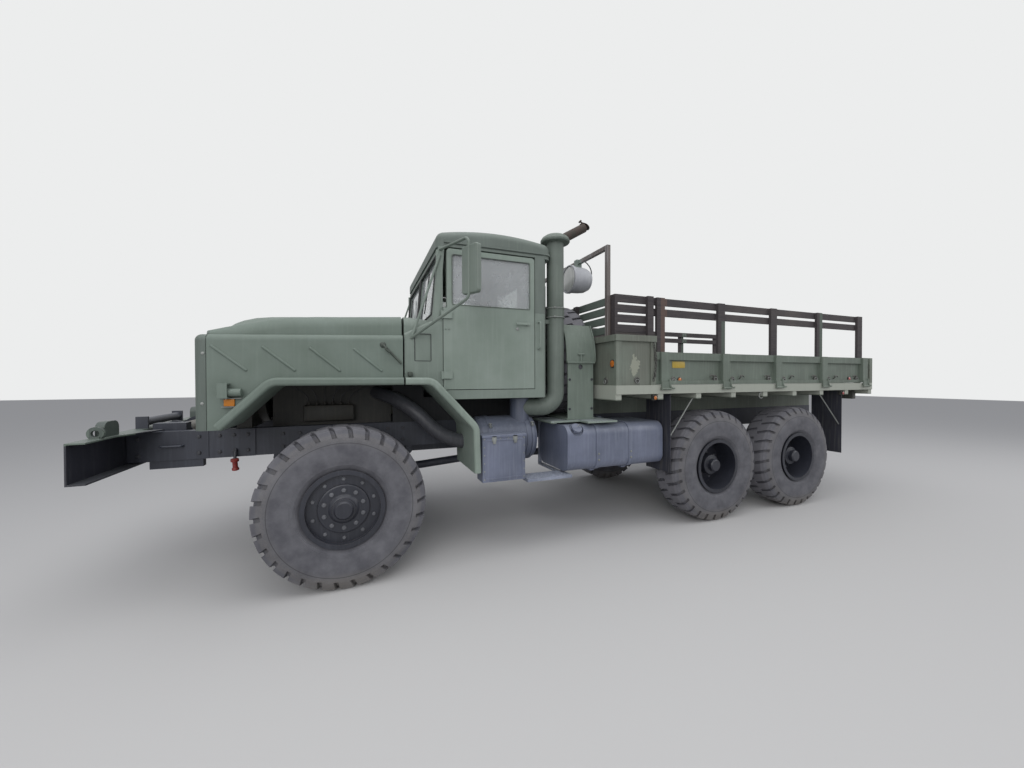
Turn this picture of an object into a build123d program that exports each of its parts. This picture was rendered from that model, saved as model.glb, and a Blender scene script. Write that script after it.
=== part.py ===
from build123d import *
import math
import os

# Military six-wheel-drive cargo truck with a front winch, drop sides and a hard-top cab.
# Millimetres. +X is forward, +Y is the driver's side, +Z is up.
# The origin lies on the ground, midway between the bumper's face and the tailgate's hinges.

# Overall stance
LENGTH = 8310
FRONT_OVERHANG = 1590
BUMPER_X = LENGTH / 2
FRONT_AXLE_X = BUMPER_X - FRONT_OVERHANG
FRONT_TO_MID_AXLE = 3861
BOGIE_SPACING = 1372
MID_AXLE_X = FRONT_AXLE_X - FRONT_TO_MID_AXLE
REAR_AXLE_X = MID_AXLE_X - BOGIE_SPACING

# Tyres and rims
TYRE_R = 620
TYRE_W = 375
TRACK = 2005
WHEEL_Y = TRACK / 2
RIM_R = 278
FLANGE_R = 300
RIM_WALL = 14
RIM_WIDTH = 345
REAR_DISC_INSET = 265
FRONT_DISC_INSET = 60
DISC_T = 16
HUB_R = 120
HUB_CAP_R = 70
SPINDLE_R = 45
PIN_GAP = 0.3
RUN_GAP = 6
HUB_PLATE_R = 188
HUB_PLATE_T = 18
LUG_COUNT = 30
GROOVE_W = 32
GROOVE_DEPTH = 22
GROOVE_SLANT = 18
CENTRE_RIB = 18

# Frame
RAIL_OUTER_Y = 445
RAIL_H = 235
RAIL_TOP_Z = 1190
RAIL_BOTTOM_Z = RAIL_TOP_Z - RAIL_H
RAIL_FLANGE = 75
RAIL_WEB = 10
DOUBLER_T = 10
DOUBLER_LAP = 100
DOUBLER_L = 330
GRIP_X = FRONT_AXLE_X + 1360
GRIP_L = 140
NOSE_BOX_X = FRONT_AXLE_X + 1440
NOSE_BOX_L = 350

# Bumper and winch
BUMPER_Z = 940
BUMPER_H = 270
BUMPER_HALF_W = 1100
BUMPER_FLANGE = 100
BUMPER_T = 10
EYE_Y = 900
WINCH_DRUM_R = 85
FAIRLEAD_Y = 320
FAIRLEAD_R = 34

# Axles, springs and steering
BEAM_R = 70
DIFF_R = 190
KINGPIN_Y = 840
KINGPIN_R = 25
KNUCKLE_R = 60
KNUCKLE_HALF_H = 80
YOKE_GAP = 86
YOKE_T = 32
STEER_ARM = 150
STEER_ARM_T = 22
STEER_ARM_DROP = 6
TIE_ROD_R = 16
TIE_ROD_EYE_R = 19
TIE_ROD_PIN_R = 10
TIE_ROD_GAP = 4
SPRING_Y = 405
SPRING_W = 76
FRONT_LEAVES = 8
BOGIE_LEAVES = 9
LEAF_T = 10
FRONT_SPRING_HALF_L = 620
FRONT_SPRING_R = 1307
BOGIE_SPRING_OVER = 60
BOGIE_SPRING_R = 2530
SPRING_PAD_T = 14

# Hood and front fenders
CAB_HALF_W = 1030
HOOD_STEP = 30
HOOD_FRONT_X = FRONT_AXLE_X + 950
HOOD_REAR_X = FRONT_AXLE_X - 450
HOOD_HALF_W = CAB_HALF_W + HOOD_STEP
HOOD_BOTTOM_Z = 1250
HOOD_FRONT_Z = 1925
HOOD_REAR_Z = 1972
HUMP_HALF_W = 620
HUMP_FRONT_Z = 2122
HUMP_REAR_Z = 2168
HUMP_RUN = 312
HUMP_SINK = 60
HUMP_NOSE_R = 500
HUMP_EDGE_R = 90
HOOD_EDGE_R = 45
CAP_SEAM_X = FRONT_AXLE_X + 873
SEAM_W = 5
SEAM_DEPTH = 4
RIB_R = 10
RIB_COUNT = 4
RIB_FRONT_X = FRONT_AXLE_X + 844
RIB_PITCH = 308
RIB_RUN = 202
RIB_TOP_Z = 1843
RIB_DROP = 168
SIDE_LAMP_X = FRONT_AXLE_X + 720
SIDE_LAMP_Z = 1516
SHELL_T = 24
ARCH_TIP_X = FRONT_AXLE_X + 780
ARCH_KINK_X = FRONT_AXLE_X + 470
ARCH_Z = 1560
ARCH_REAR_KINK_X = FRONT_AXLE_X - 670
FENDER_DROP_X = FRONT_AXLE_X - 1030
FENDER_DROP_Z = 1170
FENDER_BOTTOM_Z = 785
FLARE_DEPTH = 70
FLARE_T = 60
FLARE_EDGE_R = 20
FENDER_T = 14
CAB_TO_FENDER = 0.3
GRILLE_HALF_W = 400
GRILLE_BOTTOM_Z = 1330
GRILLE_TOP_Z = 1850
GRILLE_BAR = 34
GRILLE_T = 14
GRILLE_SLATS = 11
GRILLE_SLAT_W = 22
SPLASH_INNER_Y = 465
HEAD_LAMP_Y = HOOD_HALF_W - 320
HEAD_LAMP_Z = 1560
HOOD_GAP = 15
HOOD_PIVOT_X = HOOD_FRONT_X + 45
HOOD_PIVOT_Z = RAIL_TOP_Z + 35
HOOD_EAR_Y = 330
HOOD_EAR_T = 20
HOOD_EAR_GAP = 2
HOOD_PIN_R = 12

# Cab
CAB_WALL = 40
CAB_CORNER_R = 60
COWL_EDGE_R = 22
COWL_PANEL_INSET = 84
COWL_PANEL_L = 135
COWL_PANEL_Z = 1760
COWL_PANEL_H = 230
PRESS_DEPTH = 6
GRAB_BAR_R = 9
GRAB_BAR_OUT = 48
GRAB_BAR_Z = 1890
GRAB_BAR_H = 250
CAB_FRONT_X = HOOD_REAR_X - HOOD_GAP
CAB_REAR_X = FRONT_AXLE_X - 1790
SILL_Z = 1430
BELT_Z = 2225
COWL_FRONT_Z = 1990
COWL_Z = 2100
DOOR_FRONT_X = FRONT_AXLE_X - 785
DOOR_REAR_X = FRONT_AXLE_X - 1660
DOOR_BOTTOM_Z = 1510
DOOR_TOP_Z = 2738
DOOR_GAP = 6
DOOR_FRAME_W = 48
HANDLE_Z = 2115
DOOR_HINGE_X = DOOR_FRONT_X + 8
DOOR_HINGE_Y = CAB_HALF_W + 16
GLASS_T = 8
SCREEN_BASE_X = DOOR_FRONT_X + 85
SCREEN_LEAN = 55
SCREEN_T = 50
SCREEN_TOP_Z = 2750
ROOF_TOP_Z = 2945
ROOF_FRONT_Z = 2880
ROOF_REAR_Z = 2895
ROOF_EDGE_R = 75
ROOF_BROW = 45
GUTTER_Z = 2785
GUTTER_H = 16
GUTTER_OUT = 14
PANE_CORNER_R = 30
REAR_PANE_HALF_W = 360
REAR_PANE_Z = 2330
REAR_PANE_H = 300
ROOF_HALF_W = CAB_HALF_W - 10
ROOF_REAR_X = CAB_REAR_X - 50
ROOF_T = 28

# Cab equipment
SEAT_Y = CAB_HALF_W - 550
SEAT_HALF_W = 230
BENCH_OUT = 400
BENCH_IN = 330
SEAT_BASE_H = 210
SEAT_BACK_H = 830
SQUAB_T = 120
SEAT_GAP = 0.3
WHEEL_RIM_R = 240
COLUMN_TOP = (FRONT_AXLE_X - 1075, SEAT_Y, 2150)
COLUMN_FOOT = (FRONT_AXLE_X - 680, SEAT_Y, 1582)
MIRROR_Y = CAB_HALF_W + 420
MIRROR_X = FRONT_AXLE_X - 905
MIRROR_TURN = 25
MIRROR_W = 190
MIRROR_T = 38
MIRROR_TUBE_R = 12
MIRROR_BEND_R = 55
MIRROR_BOTTOM_Z = BELT_Z + 40
MIRROR_TOP_Z = SCREEN_TOP_Z - 110

# Chassis side equipment
BATTERY_FRONT_X = FRONT_AXLE_X - 1118
BATTERY_REAR_X = FRONT_AXLE_X - 1530
BATTERY_BOTTOM_Z = 690
BATTERY_TOP_Z = 1100
SIDE_KIT_Y = CAB_HALF_W + 70
TANK_FRONT_X = FRONT_AXLE_X - 1970
TANK_REAR_X = FRONT_AXLE_X - 3130
TANK_BOTTOM_Z = 700
TANK_TOP_Z = 1150
TANK_INNER_Y = 485
TANK_EDGE_R = 100
FILLER_INSET = 115
FILLER_R = 52
FILLER_POCKET_R = 74
FILLER_DEPTH = 36
STRAP_XS = (FRONT_AXLE_X - 2320, FRONT_AXLE_X - 2710)
BATTERY_INNER_Y = SIDE_KIT_Y - 170
CANISTER_R = 220
CANISTER_L = 610
CANISTER_REAR_X = FRONT_AXLE_X - 1750
CANISTER_Y = BATTERY_INNER_Y - CANISTER_R - 10
CANISTER_Z = 1020
INLET_R = 95
INLET_X = CANISTER_REAR_X + 140
INLET_Y = CANISTER_Y + 55
STEP_Z = TANK_BOTTOM_Z - 45
DECK_LIFT = 20
DECK_T = 18

# Stacks and spare wheel
INTAKE_X = FRONT_AXLE_X - 1940
INTAKE_Y = CAB_HALF_W - 125
INTAKE_R = 85
INTAKE_TOP_Z = 2970
COLLAR_Z = 2260
STACK_STAY_Z = 2165
EXHAUST_X = FRONT_AXLE_X - 1920
EXHAUST_Y = INTAKE_Y - 330
EXHAUST_R = 50
SPARE_X = FRONT_AXLE_X - 2230
SPARE_Y = 270
CARRIER_T = 14
GUARD_GAP = 10
CARRIER_HOLE_R = 26

# Lamp portal
PORTAL_HALF_W = 1090
PORTAL_TUBE = 40
PORTAL_TOP_Z = 2950
LAMP_Y = 500

# Cargo bed
BED_FRONT_X = FRONT_AXLE_X - 2440
TAIL_HINGE_OUT = 18
HINGE_R = 11
HINGE_PIN_R = 6.5
HINGE_LUG_L = 14
TAIL_HINGE_YS = (-1040, -560, 0, 560, 1040)
TAIL_HINGE_HALF = 40
BED_REAR_X = HINGE_R + TAIL_HINGE_OUT - LENGTH / 2
RAIL_REAR_X = BED_REAR_X + 35
BED_HALF_W = 1222
BED_FLOOR_Z = 1540
BED_SILL_Z = 1450
BED_FLOOR_T = 50
BED_WALL_T = 36
FIXED_SIDE_L = 490
FIXED_SIDE_Z = 2040
SIDE_TOP_Z = 1880
SHEET_T = 18
SHEET_INSET = 12
TOP_RAIL_H = 62
RAIL_PROUD = 12
CORNER_POST_W = 66
FRONT_WALL_RIBS = (0, 620)
SIDE_RAIL_H = 80
SIDE_GAP = 6
RACK_TOP_Z = 2450
STAKE_W = 105
STAKE_T = 30
STAKE_COUNT = 5
SLAT_H = 76
SLAT_T = 24
FRONT_SLATS = 4
FRONT_SLAT_PITCH = 100
RACK_POST_W = 75
RACK_POST_T = 34
RACK_POST_Y = 350
RACK_FOOT = 300
HINGE_DROP = 40
HINGE_OUT = 18
BEARER_W = 70
BEARER_DROP = 60
BEARER_COUNT = 9
BED_SILL_W = 40
FLAP_T = 8
FLAP_BOTTOM_Z = 610
REAR_FLAP_GAP = 240


# Shape helpers
def block(x0, x1, y0, y1, z0, z1):
    return Pos((x0 + x1) / 2, (y0 + y1) / 2, (z0 + z1) / 2) * Box(abs(x1 - x0), abs(y1 - y0), abs(z1 - z0))


def slab_y(points, y0, y1):
    """A plate with the side outline (x, z), from y0 to y1."""
    face = make_face(Polyline(*[(x, y0, z) for x, z in points], close=True))
    return extrude(face, amount=y1 - y0, dir=(0, 1, 0))


def slab_z(points, z0, z1):
    """A plate with the plan outline (x, y), from z0 to z1."""
    face = make_face(Polyline(*[(x, y, z0) for x, y in points], close=True))
    return extrude(face, amount=z1 - z0, dir=(0, 0, 1))


def rod(start, end, radius):
    """A round bar between two points."""
    axis = Vector(*end) - Vector(*start)
    return extrude(Plane(origin=start, z_dir=axis) * Circle(radius), amount=axis.length)


def pipe(points, radius, bend):
    """A round bar along straight runs joined by bends."""
    path = FilletPolyline(*points, radius=bend)
    first = Vector(*points[1]) - Vector(*points[0])
    return sweep(Plane(origin=points[0], z_dir=first) * Circle(radius), path=path)


def turned(profile, centre, axis):
    """A turned piece: (radius, offset) points round an axis through the centre."""
    plane = Plane(origin=centre, z_dir=axis)
    face = make_face(Polyline(*[(r, 0, s) for r, s in profile], close=True))
    return plane * revolve(face, axis=Axis.Z)


def edges_at(edges, axis, at, reach=1.0):
    """The edges whose middle lies within reach of a place along an axis."""
    return edges.filter_by_position(axis, at - reach, at + reach)


def rounded_plan(x0, x1, half, z0, z1, radius):
    """An upright block, as wide either side, with its rear corners rounded."""
    body = block(x0, x1, -half, half, z0, z1)
    return fillet(edges_at(body.edges().filter_by(Axis.Z), Axis.X, x0), radius)


def rounded_block(x0, x1, y0, y1, z0, z1, radius):
    """A block with every edge rounded."""
    body = block(x0, x1, y0, y1, z0, z1)
    return fillet(body.edges(), radius)


def mirrored(shape):
    return mirror(shape, about=Plane.XZ)


def both_sides(shape):
    return shape + mirrored(shape)


# Frame: two channel rails, cross members, cab mounts and a towing hook
def frame():
    rail = block(RAIL_REAR_X, BUMPER_X - BUMPER_T, RAIL_OUTER_Y - RAIL_FLANGE, RAIL_OUTER_Y, RAIL_BOTTOM_Z, RAIL_TOP_Z)
    rail -= block(
        RAIL_REAR_X,
        BUMPER_X,
        RAIL_OUTER_Y - RAIL_FLANGE,
        RAIL_OUTER_Y - RAIL_WEB,
        RAIL_BOTTOM_Z + RAIL_WEB,
        RAIL_TOP_Z - RAIL_WEB,
    )
    plate_x = HOOD_FRONT_X + DOUBLER_LAP
    rail += block(plate_x - DOUBLER_L, plate_x - 3, RAIL_OUTER_Y - 1, RAIL_OUTER_Y + DOUBLER_T, RAIL_BOTTOM_Z, RAIL_TOP_Z)
    rail += block(plate_x, BUMPER_X - BUMPER_T - 5, RAIL_OUTER_Y - 1, RAIL_OUTER_Y + DOUBLER_T, RAIL_BOTTOM_Z, RAIL_TOP_Z)
    grip_y = RAIL_OUTER_Y + 40
    grip_z = (RAIL_BOTTOM_Z + RAIL_TOP_Z) / 2
    rail += pipe(
        [
            (GRIP_X, RAIL_OUTER_Y, grip_z),
            (GRIP_X, grip_y, grip_z),
            (GRIP_X - GRIP_L, grip_y, grip_z),
            (GRIP_X - GRIP_L, RAIL_OUTER_Y, grip_z),
        ],
        8,
        18,
    )
    rail += block(NOSE_BOX_X - NOSE_BOX_L, NOSE_BOX_X, RAIL_OUTER_Y - 60, RAIL_OUTER_Y, RAIL_BOTTOM_Z - 62, RAIL_BOTTOM_Z)
    rail += cab_mount(CAB_FRONT_X - 120)
    rail += cab_mount(CAB_REAR_X + 110)
    body = both_sides(rail)
    inner = RAIL_OUTER_Y - RAIL_WEB
    # Cross members: x, half length along the truck, bottom z, top z
    for x, half, z0, z1 in (
        (HOOD_PIVOT_X, 30, RAIL_BOTTOM_Z, RAIL_TOP_Z - RAIL_WEB),
        (FRONT_AXLE_X - 1330, 35, RAIL_BOTTOM_Z, RAIL_BOTTOM_Z + 30),
        (STRAP_XS[0], 35, RAIL_BOTTOM_Z + 40, RAIL_TOP_Z - 40),
        ((MID_AXLE_X + REAR_AXLE_X) / 2, 110, RAIL_BOTTOM_Z + 20, RAIL_TOP_Z - 20),
        (RAIL_REAR_X + 40, 40, RAIL_BOTTOM_Z, RAIL_TOP_Z - RAIL_WEB),
    ):
        body += block(x - half, x + half, -inner, inner, z0, z1)
    return body + tow_hook() + both_sides(hood_bracket())


def hood_bracket():
    """Ear and pin that carry one of the hood's pivots."""
    y = HOOD_EAR_Y + HOOD_EAR_T + HOOD_EAR_GAP
    x0 = HOOD_PIVOT_X - 20
    ear = block(x0, x0 + 40, y, y + 14, RAIL_TOP_Z - RAIL_WEB, HOOD_PIVOT_Z + 20)
    return ear + rod((HOOD_PIVOT_X, HOOD_EAR_Y - 12, HOOD_PIVOT_Z), (HOOD_PIVOT_X, y, HOOD_PIVOT_Z), HOOD_PIN_R)


def cab_mount(x):
    return block(x - 40, x + 40, RAIL_OUTER_Y - 60, RAIL_OUTER_Y, RAIL_TOP_Z, SILL_Z)


def tow_hook():
    z = (RAIL_BOTTOM_Z + RAIL_TOP_Z) / 2
    shank = rod((RAIL_REAR_X + 40, 0, z), (RAIL_REAR_X - 40, 0, z), 34)
    return shank + block(RAIL_REAR_X - 12, RAIL_REAR_X, -90, 90, z - 90, z + 90)


# Bumper: an open channel with gussets to the rails
def front_bumper():
    top = BUMPER_Z + BUMPER_H
    rear = BUMPER_X - BUMPER_FLANGE
    body = block(rear, BUMPER_X, -BUMPER_HALF_W, BUMPER_HALF_W, BUMPER_Z, top)
    body -= block(
        rear,
        BUMPER_X - BUMPER_T,
        -BUMPER_HALF_W,
        BUMPER_HALF_W,
        BUMPER_Z + BUMPER_T,
        top - BUMPER_T,
    )
    near = RAIL_OUTER_Y
    gusset = slab_z([(rear, near), (rear, BUMPER_HALF_W * 0.7), (rear - 150, near)], top - BUMPER_T, top)
    shackle = turned([(22, -12), (45, -12), (45, 12), (22, 12)], (BUMPER_X - 55, EYE_Y, top + 35), (0, 1, 0))
    shackle += block(BUMPER_X - 80, BUMPER_X - 30, EYE_Y - 20, EYE_Y + 20, top - 2, top + 12)
    lug = block(BUMPER_X - 80, BUMPER_X - 30, EYE_Y - 210, EYE_Y - 38, top - 2, top + 108)
    lug = fillet(edges_at(lug.edges().filter_by(Axis.X), Axis.Z, top + 108), 50)
    return body + both_sides(gusset + shackle + lug) - rail_slots(rear, top)


def rail_slots(rear, top):
    """Clears the bumper's web and flanges where the rails run into the channel."""
    slot = block(
        rear - 160,
        BUMPER_X - BUMPER_T,
        RAIL_OUTER_Y - RAIL_FLANGE,
        RAIL_OUTER_Y,
        RAIL_BOTTOM_Z,
        RAIL_TOP_Z,
    )
    return both_sides(slot)


# Winch between the rails, behind the bumper
def winch():
    x = BUMPER_X - BUMPER_FLANGE - 150
    z = RAIL_TOP_Z - 60
    drum = turned(
        [(0, -260), (130, -260), (130, -240), (WINCH_DRUM_R, -240), (WINCH_DRUM_R, 240), (130, 240), (130, 260), (0, 260)],
        (x, 0, z),
        (0, 1, 0),
    )
    gearbox = block(x - 110, x + 110, 260, 360, z - 120, z + 120)
    brake = block(x - 90, x + 90, -350, -260, z - 100, z + 100)
    bearer = block(x - 40, x + 40, -(RAIL_OUTER_Y - RAIL_WEB), RAIL_OUTER_Y - RAIL_WEB, z - 160, z - 100)
    top = BUMPER_Z + BUMPER_H
    guide_x = BUMPER_X - 58
    guide = rod((guide_x, FAIRLEAD_Y, top + 50), (guide_x, -FAIRLEAD_Y, top + 50), FAIRLEAD_R)
    for y in (-FAIRLEAD_Y, FAIRLEAD_Y):
        guide += block(guide_x - 40, guide_x + 40, y - 10, y + 10, top, top + 98)
    return drum + gearbox + brake + bearer + guide


# Engine block with its mounts, and the radiator in front of it
def engine():
    x0 = CAB_FRONT_X + 60
    x1 = HOOD_FRONT_X - 330
    body = block(x0, x1, -290, 290, 960, 1750)
    body += block(x0 + 250, x1 - 60, -180, 180, 870, 960)
    mount = RAIL_OUTER_Y - RAIL_WEB
    return body + block(x0 + 500, x0 + 620, -mount, mount, 1040, 1110)


def radiator():
    x1 = HOOD_FRONT_X - 90
    core = block(x1 - 110, x1, -430, 430, RAIL_TOP_Z, HOOD_FRONT_Z - 70)
    shroud = turned([(300, -70), (330, -70), (330, 0), (300, 0)], (x1 - 110, 0, 1540), (1, 0, 0))
    return core + shroud


# Gearbox, transfer case and the propeller shafts
def driveline():
    rear = CAB_FRONT_X + 60
    mount = RAIL_OUTER_Y - RAIL_WEB
    gearbox = block(rear - 780, rear, -210, 210, 860, 1240)
    case_x = FRONT_AXLE_X - 1650
    case = block(case_x - 180, case_x + 180, -230, 230, 640, 1150)
    ears = block(case_x - 50, case_x + 50, -mount, mount, 1020, 1080)
    body = gearbox + case + ears
    body += block(rear - 500, rear - 400, -mount, mount, 1020, 1080)
    # Shafts: start x, start z, end x, end z
    for x0, z0, x1, z1 in (
        (rear - 780, 1080, case_x + 180, 1060),
        (case_x + 180, 720, FRONT_AXLE_X - DIFF_R + 6, TYRE_R),
        (case_x - 180, 720, MID_AXLE_X + DIFF_R - 6, TYRE_R + 20),
    ):
        body += rod((x0, 0, z0), (x1, 0, z1), 42)
    link = rod((MID_AXLE_X - DIFF_R + 6, 0, TYRE_R + 20), (REAR_AXLE_X + DIFF_R - 6, 0, TYRE_R + 20), 42)
    return body + link - axle_bowls()


def axle_bowls():
    return Compound(children=[Pos(x, 0, TYRE_R) * Sphere(DIFF_R) for x in (FRONT_AXLE_X, MID_AXLE_X, REAR_AXLE_X)])


# Axles: a tube with a bowl, and a yoke or a spindle at each end
def axle_bowl(x):
    beam = turned([(0, -700), (BEAM_R, -700), (BEAM_R, 700), (0, 700)], (x, 0, TYRE_R), (0, 1, 0))
    bowl = Pos(x, 0, TYRE_R) * Sphere(DIFF_R)
    return beam + bowl


def drive_axle(x):
    disc_back = WHEEL_Y + TYRE_W / 2 - REAR_DISC_INSET - DISC_T
    tip = disc_back - RUN_GAP
    end = turned(
        [(0, 690), (BEAM_R, 690), (BEAM_R, 800), (SPINDLE_R, 800), (SPINDLE_R, tip), (0, tip)],
        (x, 0, TYRE_R),
        (0, 1, 0),
    )
    return axle_bowl(x) + both_sides(end)


def steer_axle():
    x = FRONT_AXLE_X
    z = TYRE_R
    root = KINGPIN_Y - 140
    yoke = block(x - 60, x + 60, root, root + 45, z - YOKE_GAP - YOKE_T, z + YOKE_GAP + YOKE_T)
    for side in (-1, 1):
        z0 = z + side * (YOKE_GAP + YOKE_T / 2)
        yoke += block(x - 55, x + 55, root, KINGPIN_Y + 45, z0 - YOKE_T / 2, z0 + YOKE_T / 2)
    bore = rod((x, KINGPIN_Y, z - 200), (x, KINGPIN_Y, z + 200), KINGPIN_R + PIN_GAP)
    return axle_bowl(x) + both_sides(yoke - bore)


def axles():
    return steer_axle() + drive_axle(MID_AXLE_X) + drive_axle(REAR_AXLE_X)


# Leaf springs: arched packs at the front, and an upturned pack on the bogie's trunnion
def leaf(x, z, radius, side, half, y0):
    """One leaf whose outer face lies at (x, z) in its middle; side is 1 where its ends turn up."""
    turn = half / radius
    near = radius - LEAF_T
    centre_z = z + side * radius
    reach = math.sin(turn)
    fall = math.cos(turn)
    outer = ThreePointArc(
        (x - radius * reach, y0, centre_z - side * radius * fall),
        (x, y0, z),
        (x + radius * reach, y0, centre_z - side * radius * fall),
    )
    inner = ThreePointArc(
        (x - near * reach, y0, centre_z - side * near * fall),
        (x, y0, z + side * LEAF_T),
        (x + near * reach, y0, centre_z - side * near * fall),
    )
    ends = [Line(outer @ 0, inner @ 0), Line(outer @ 1, inner @ 1)]
    return extrude(make_face([outer, inner] + ends), amount=SPRING_W, dir=(0, 1, 0))


def leaf_springs():
    seat = TYRE_R + BEAM_R
    x = FRONT_AXLE_X
    y0 = SPRING_Y - SPRING_W / 2
    y1 = y0 + SPRING_W
    front = block(x - 90, x + 90, y0, y1, seat, seat + SPRING_PAD_T)
    low_z = seat + SPRING_PAD_T
    for i in range(FRONT_LEAVES):
        half = FRONT_SPRING_HALF_L * (i + 1.6) / (FRONT_LEAVES + 0.6)
        front += leaf(x, low_z + i * LEAF_T, FRONT_SPRING_R - i * LEAF_T, 1, half, y0)
    top = low_z + FRONT_LEAVES * LEAF_T
    front += block(x - 70, x + 70, y0 - 8, y1 + 8, low_z, top + 22)
    main_r = FRONT_SPRING_R - FRONT_LEAVES * LEAF_T
    eye_run = main_r * math.sin(FRONT_SPRING_HALF_L / FRONT_SPRING_R)
    eye_z = top + main_r * (1 - math.cos(FRONT_SPRING_HALF_L / FRONT_SPRING_R))
    for side in (-1, 1):
        eye_x = x + side * eye_run
        front += rod((eye_x, y0 - 8, eye_z - 10), (eye_x, y1 + 8, eye_z - 10), 30)
        front += block(eye_x - 28, eye_x + 28, y0, y1, eye_z - 10, RAIL_BOTTOM_Z)
    middle = (MID_AXLE_X + REAR_AXLE_X) / 2
    half_span = BOGIE_SPACING / 2
    rise = BOGIE_SPRING_R - math.sqrt(BOGIE_SPRING_R**2 - half_span**2)
    base = seat + SPRING_PAD_T + rise
    bogie = block(middle - 90, middle + 90, y0 - 8, y1 + 8, base - 20, base + BOGIE_LEAVES * LEAF_T + 14)
    for i in range(BOGIE_LEAVES):
        half = (half_span + BOGIE_SPRING_OVER) * (BOGIE_LEAVES - i + 0.8) / (BOGIE_LEAVES + 0.8)
        outer_r = BOGIE_SPRING_R + (i + 1) * LEAF_T
        bogie += leaf(middle, base + (i + 1) * LEAF_T, outer_r, -1, half, y0)
    bogie += block(middle - 130, middle + 130, y0, y1, base + BOGIE_LEAVES * LEAF_T, RAIL_BOTTOM_Z)
    for axle_x in (MID_AXLE_X, REAR_AXLE_X):
        bogie += block(axle_x - 55, axle_x + 55, y0, y1, seat, seat + SPRING_PAD_T + 12)
    return both_sides(front + bogie)


# Steering knuckles and the tie rod between them
def knuckle(side):
    x = FRONT_AXLE_X
    z = TYRE_R
    body = rod((x, KINGPIN_Y, z - KNUCKLE_HALF_H), (x, KINGPIN_Y, z + KNUCKLE_HALF_H), KNUCKLE_R)
    arm_bottom, arm_top = steer_arm_heights()
    body += rod((x, KINGPIN_Y, arm_bottom), (x, KINGPIN_Y, z + YOKE_GAP + YOKE_T), KINGPIN_R)
    tip = WHEEL_Y + TYRE_W / 2 - FRONT_DISC_INSET - DISC_T - RUN_GAP
    body += rod((x, KINGPIN_Y, z), (x, tip, z), SPINDLE_R)
    arm = block(x - STEER_ARM, x, KINGPIN_Y - 22, KINGPIN_Y + 22, arm_bottom, arm_top)
    arm += rod((x - STEER_ARM, KINGPIN_Y, arm_bottom), (x - STEER_ARM, KINGPIN_Y, arm_top), 24)
    body += arm
    eye_r = TIE_ROD_PIN_R + PIN_GAP
    body -= rod((x - STEER_ARM, KINGPIN_Y, arm_bottom), (x - STEER_ARM, KINGPIN_Y, arm_top), eye_r)
    return body if side > 0 else mirrored(body)


def steer_arm_heights():
    """Bottom and top of the steering arms, below the lower yoke."""
    top = TYRE_R - YOKE_GAP - YOKE_T - STEER_ARM_DROP
    return top - STEER_ARM_T, top


def tie_rod():
    x = FRONT_AXLE_X - STEER_ARM
    arm_bottom, arm_top = steer_arm_heights()
    z = arm_bottom - TIE_ROD_GAP - TIE_ROD_EYE_R
    ends = rod((x, KINGPIN_Y, z), (x, KINGPIN_Y, arm_top), TIE_ROD_PIN_R)
    ends += rod((x, KINGPIN_Y, z - TIE_ROD_EYE_R), (x, KINGPIN_Y, z + TIE_ROD_EYE_R), TIE_ROD_EYE_R)
    return rod((x, -KINGPIN_Y, z), (x, KINGPIN_Y, z), TIE_ROD_R) + both_sides(ends)


# Wheels: a tyre and a rim turned round the axle, side is 1 for the driver's side
def tyre_blank():
    """A lugged tyre round Z, its mid plane at the origin."""
    half = TYRE_W / 2
    tread_half = half - 75
    shoulder = (TYRE_R - 12, half - 40)
    wall_top = (TYRE_R - 70, half - 12)
    wall_foot = (FLANGE_R + 40, half - 12)
    points = [
        (TYRE_R, -tread_half),
        (TYRE_R, tread_half),
        shoulder,
        wall_top,
    ]
    bead = [
        wall_foot,
        (FLANGE_R - 12, half - 50),
        (RIM_R, half - 60),
        (RIM_R, -half + 60),
        (FLANGE_R - 12, -half + 50),
        (wall_foot[0], -wall_foot[1]),
    ]
    wall_r = (wall_top[0] + wall_foot[0]) / 2
    outline = Polyline(*[(r, 0, s) for r, s in points])
    outline += ThreePointArc((wall_top[0], 0, wall_top[1]), (wall_r, 0, half), (wall_foot[0], 0, wall_foot[1]))
    outline += Polyline(*[(r, 0, s) for r, s in bead])
    outline += ThreePointArc((wall_foot[0], 0, -wall_foot[1]), (wall_r, 0, -half), (wall_top[0], 0, -wall_top[1]))
    outline += Polyline(
        (wall_top[0], 0, -wall_top[1]), (shoulder[0], 0, -shoulder[1]), (TYRE_R, 0, -tread_half)
    )
    body = revolve(make_face(outline), axis=Axis.Z)
    groove_outline = [
        (TYRE_R + 10, CENTRE_RIB / 2),
        (TYRE_R - GROOVE_DEPTH, CENTRE_RIB / 2),
        (TYRE_R - GROOVE_DEPTH, tread_half - 6),
        (shoulder[0] - GROOVE_DEPTH, shoulder[1] - 12),
        (wall_top[0] - 5, wall_top[1] - GROOVE_DEPTH),
        (wall_top[0] - 14, half + 20),
        (TYRE_R + 10, half + 20),
    ]
    groove = slab_y(groove_outline, -GROOVE_W / 2, GROOVE_W / 2)
    pitch = 360 / LUG_COUNT
    grooves = []
    for i in range(LUG_COUNT):
        grooves.append(Rot(0, 0, i * pitch) * Rot(GROOVE_SLANT, 0, 0) * groove)
        grooves.append(Rot(0, 0, (i + 0.5) * pitch) * Rot(180 + GROOVE_SLANT, 0, 0) * groove)
    return body - grooves


def tyre(blank, centre, axis):
    return Plane(origin=centre, x_dir=(0, 0, 1), z_dir=axis) * blank


def rim_barrel():
    """Half section of the rim's barrel and flanges: radius, offset outward from mid plane."""
    half = RIM_WIDTH / 2
    return [
        (RIM_R - RIM_WALL, -half),
        (FLANGE_R, -half),
        (FLANGE_R, -half + 10),
        (RIM_R, -half + 14),
        (RIM_R, half - 14),
        (FLANGE_R, half - 10),
        (FLANGE_R, half),
        (RIM_R - RIM_WALL, half),
    ]


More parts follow.
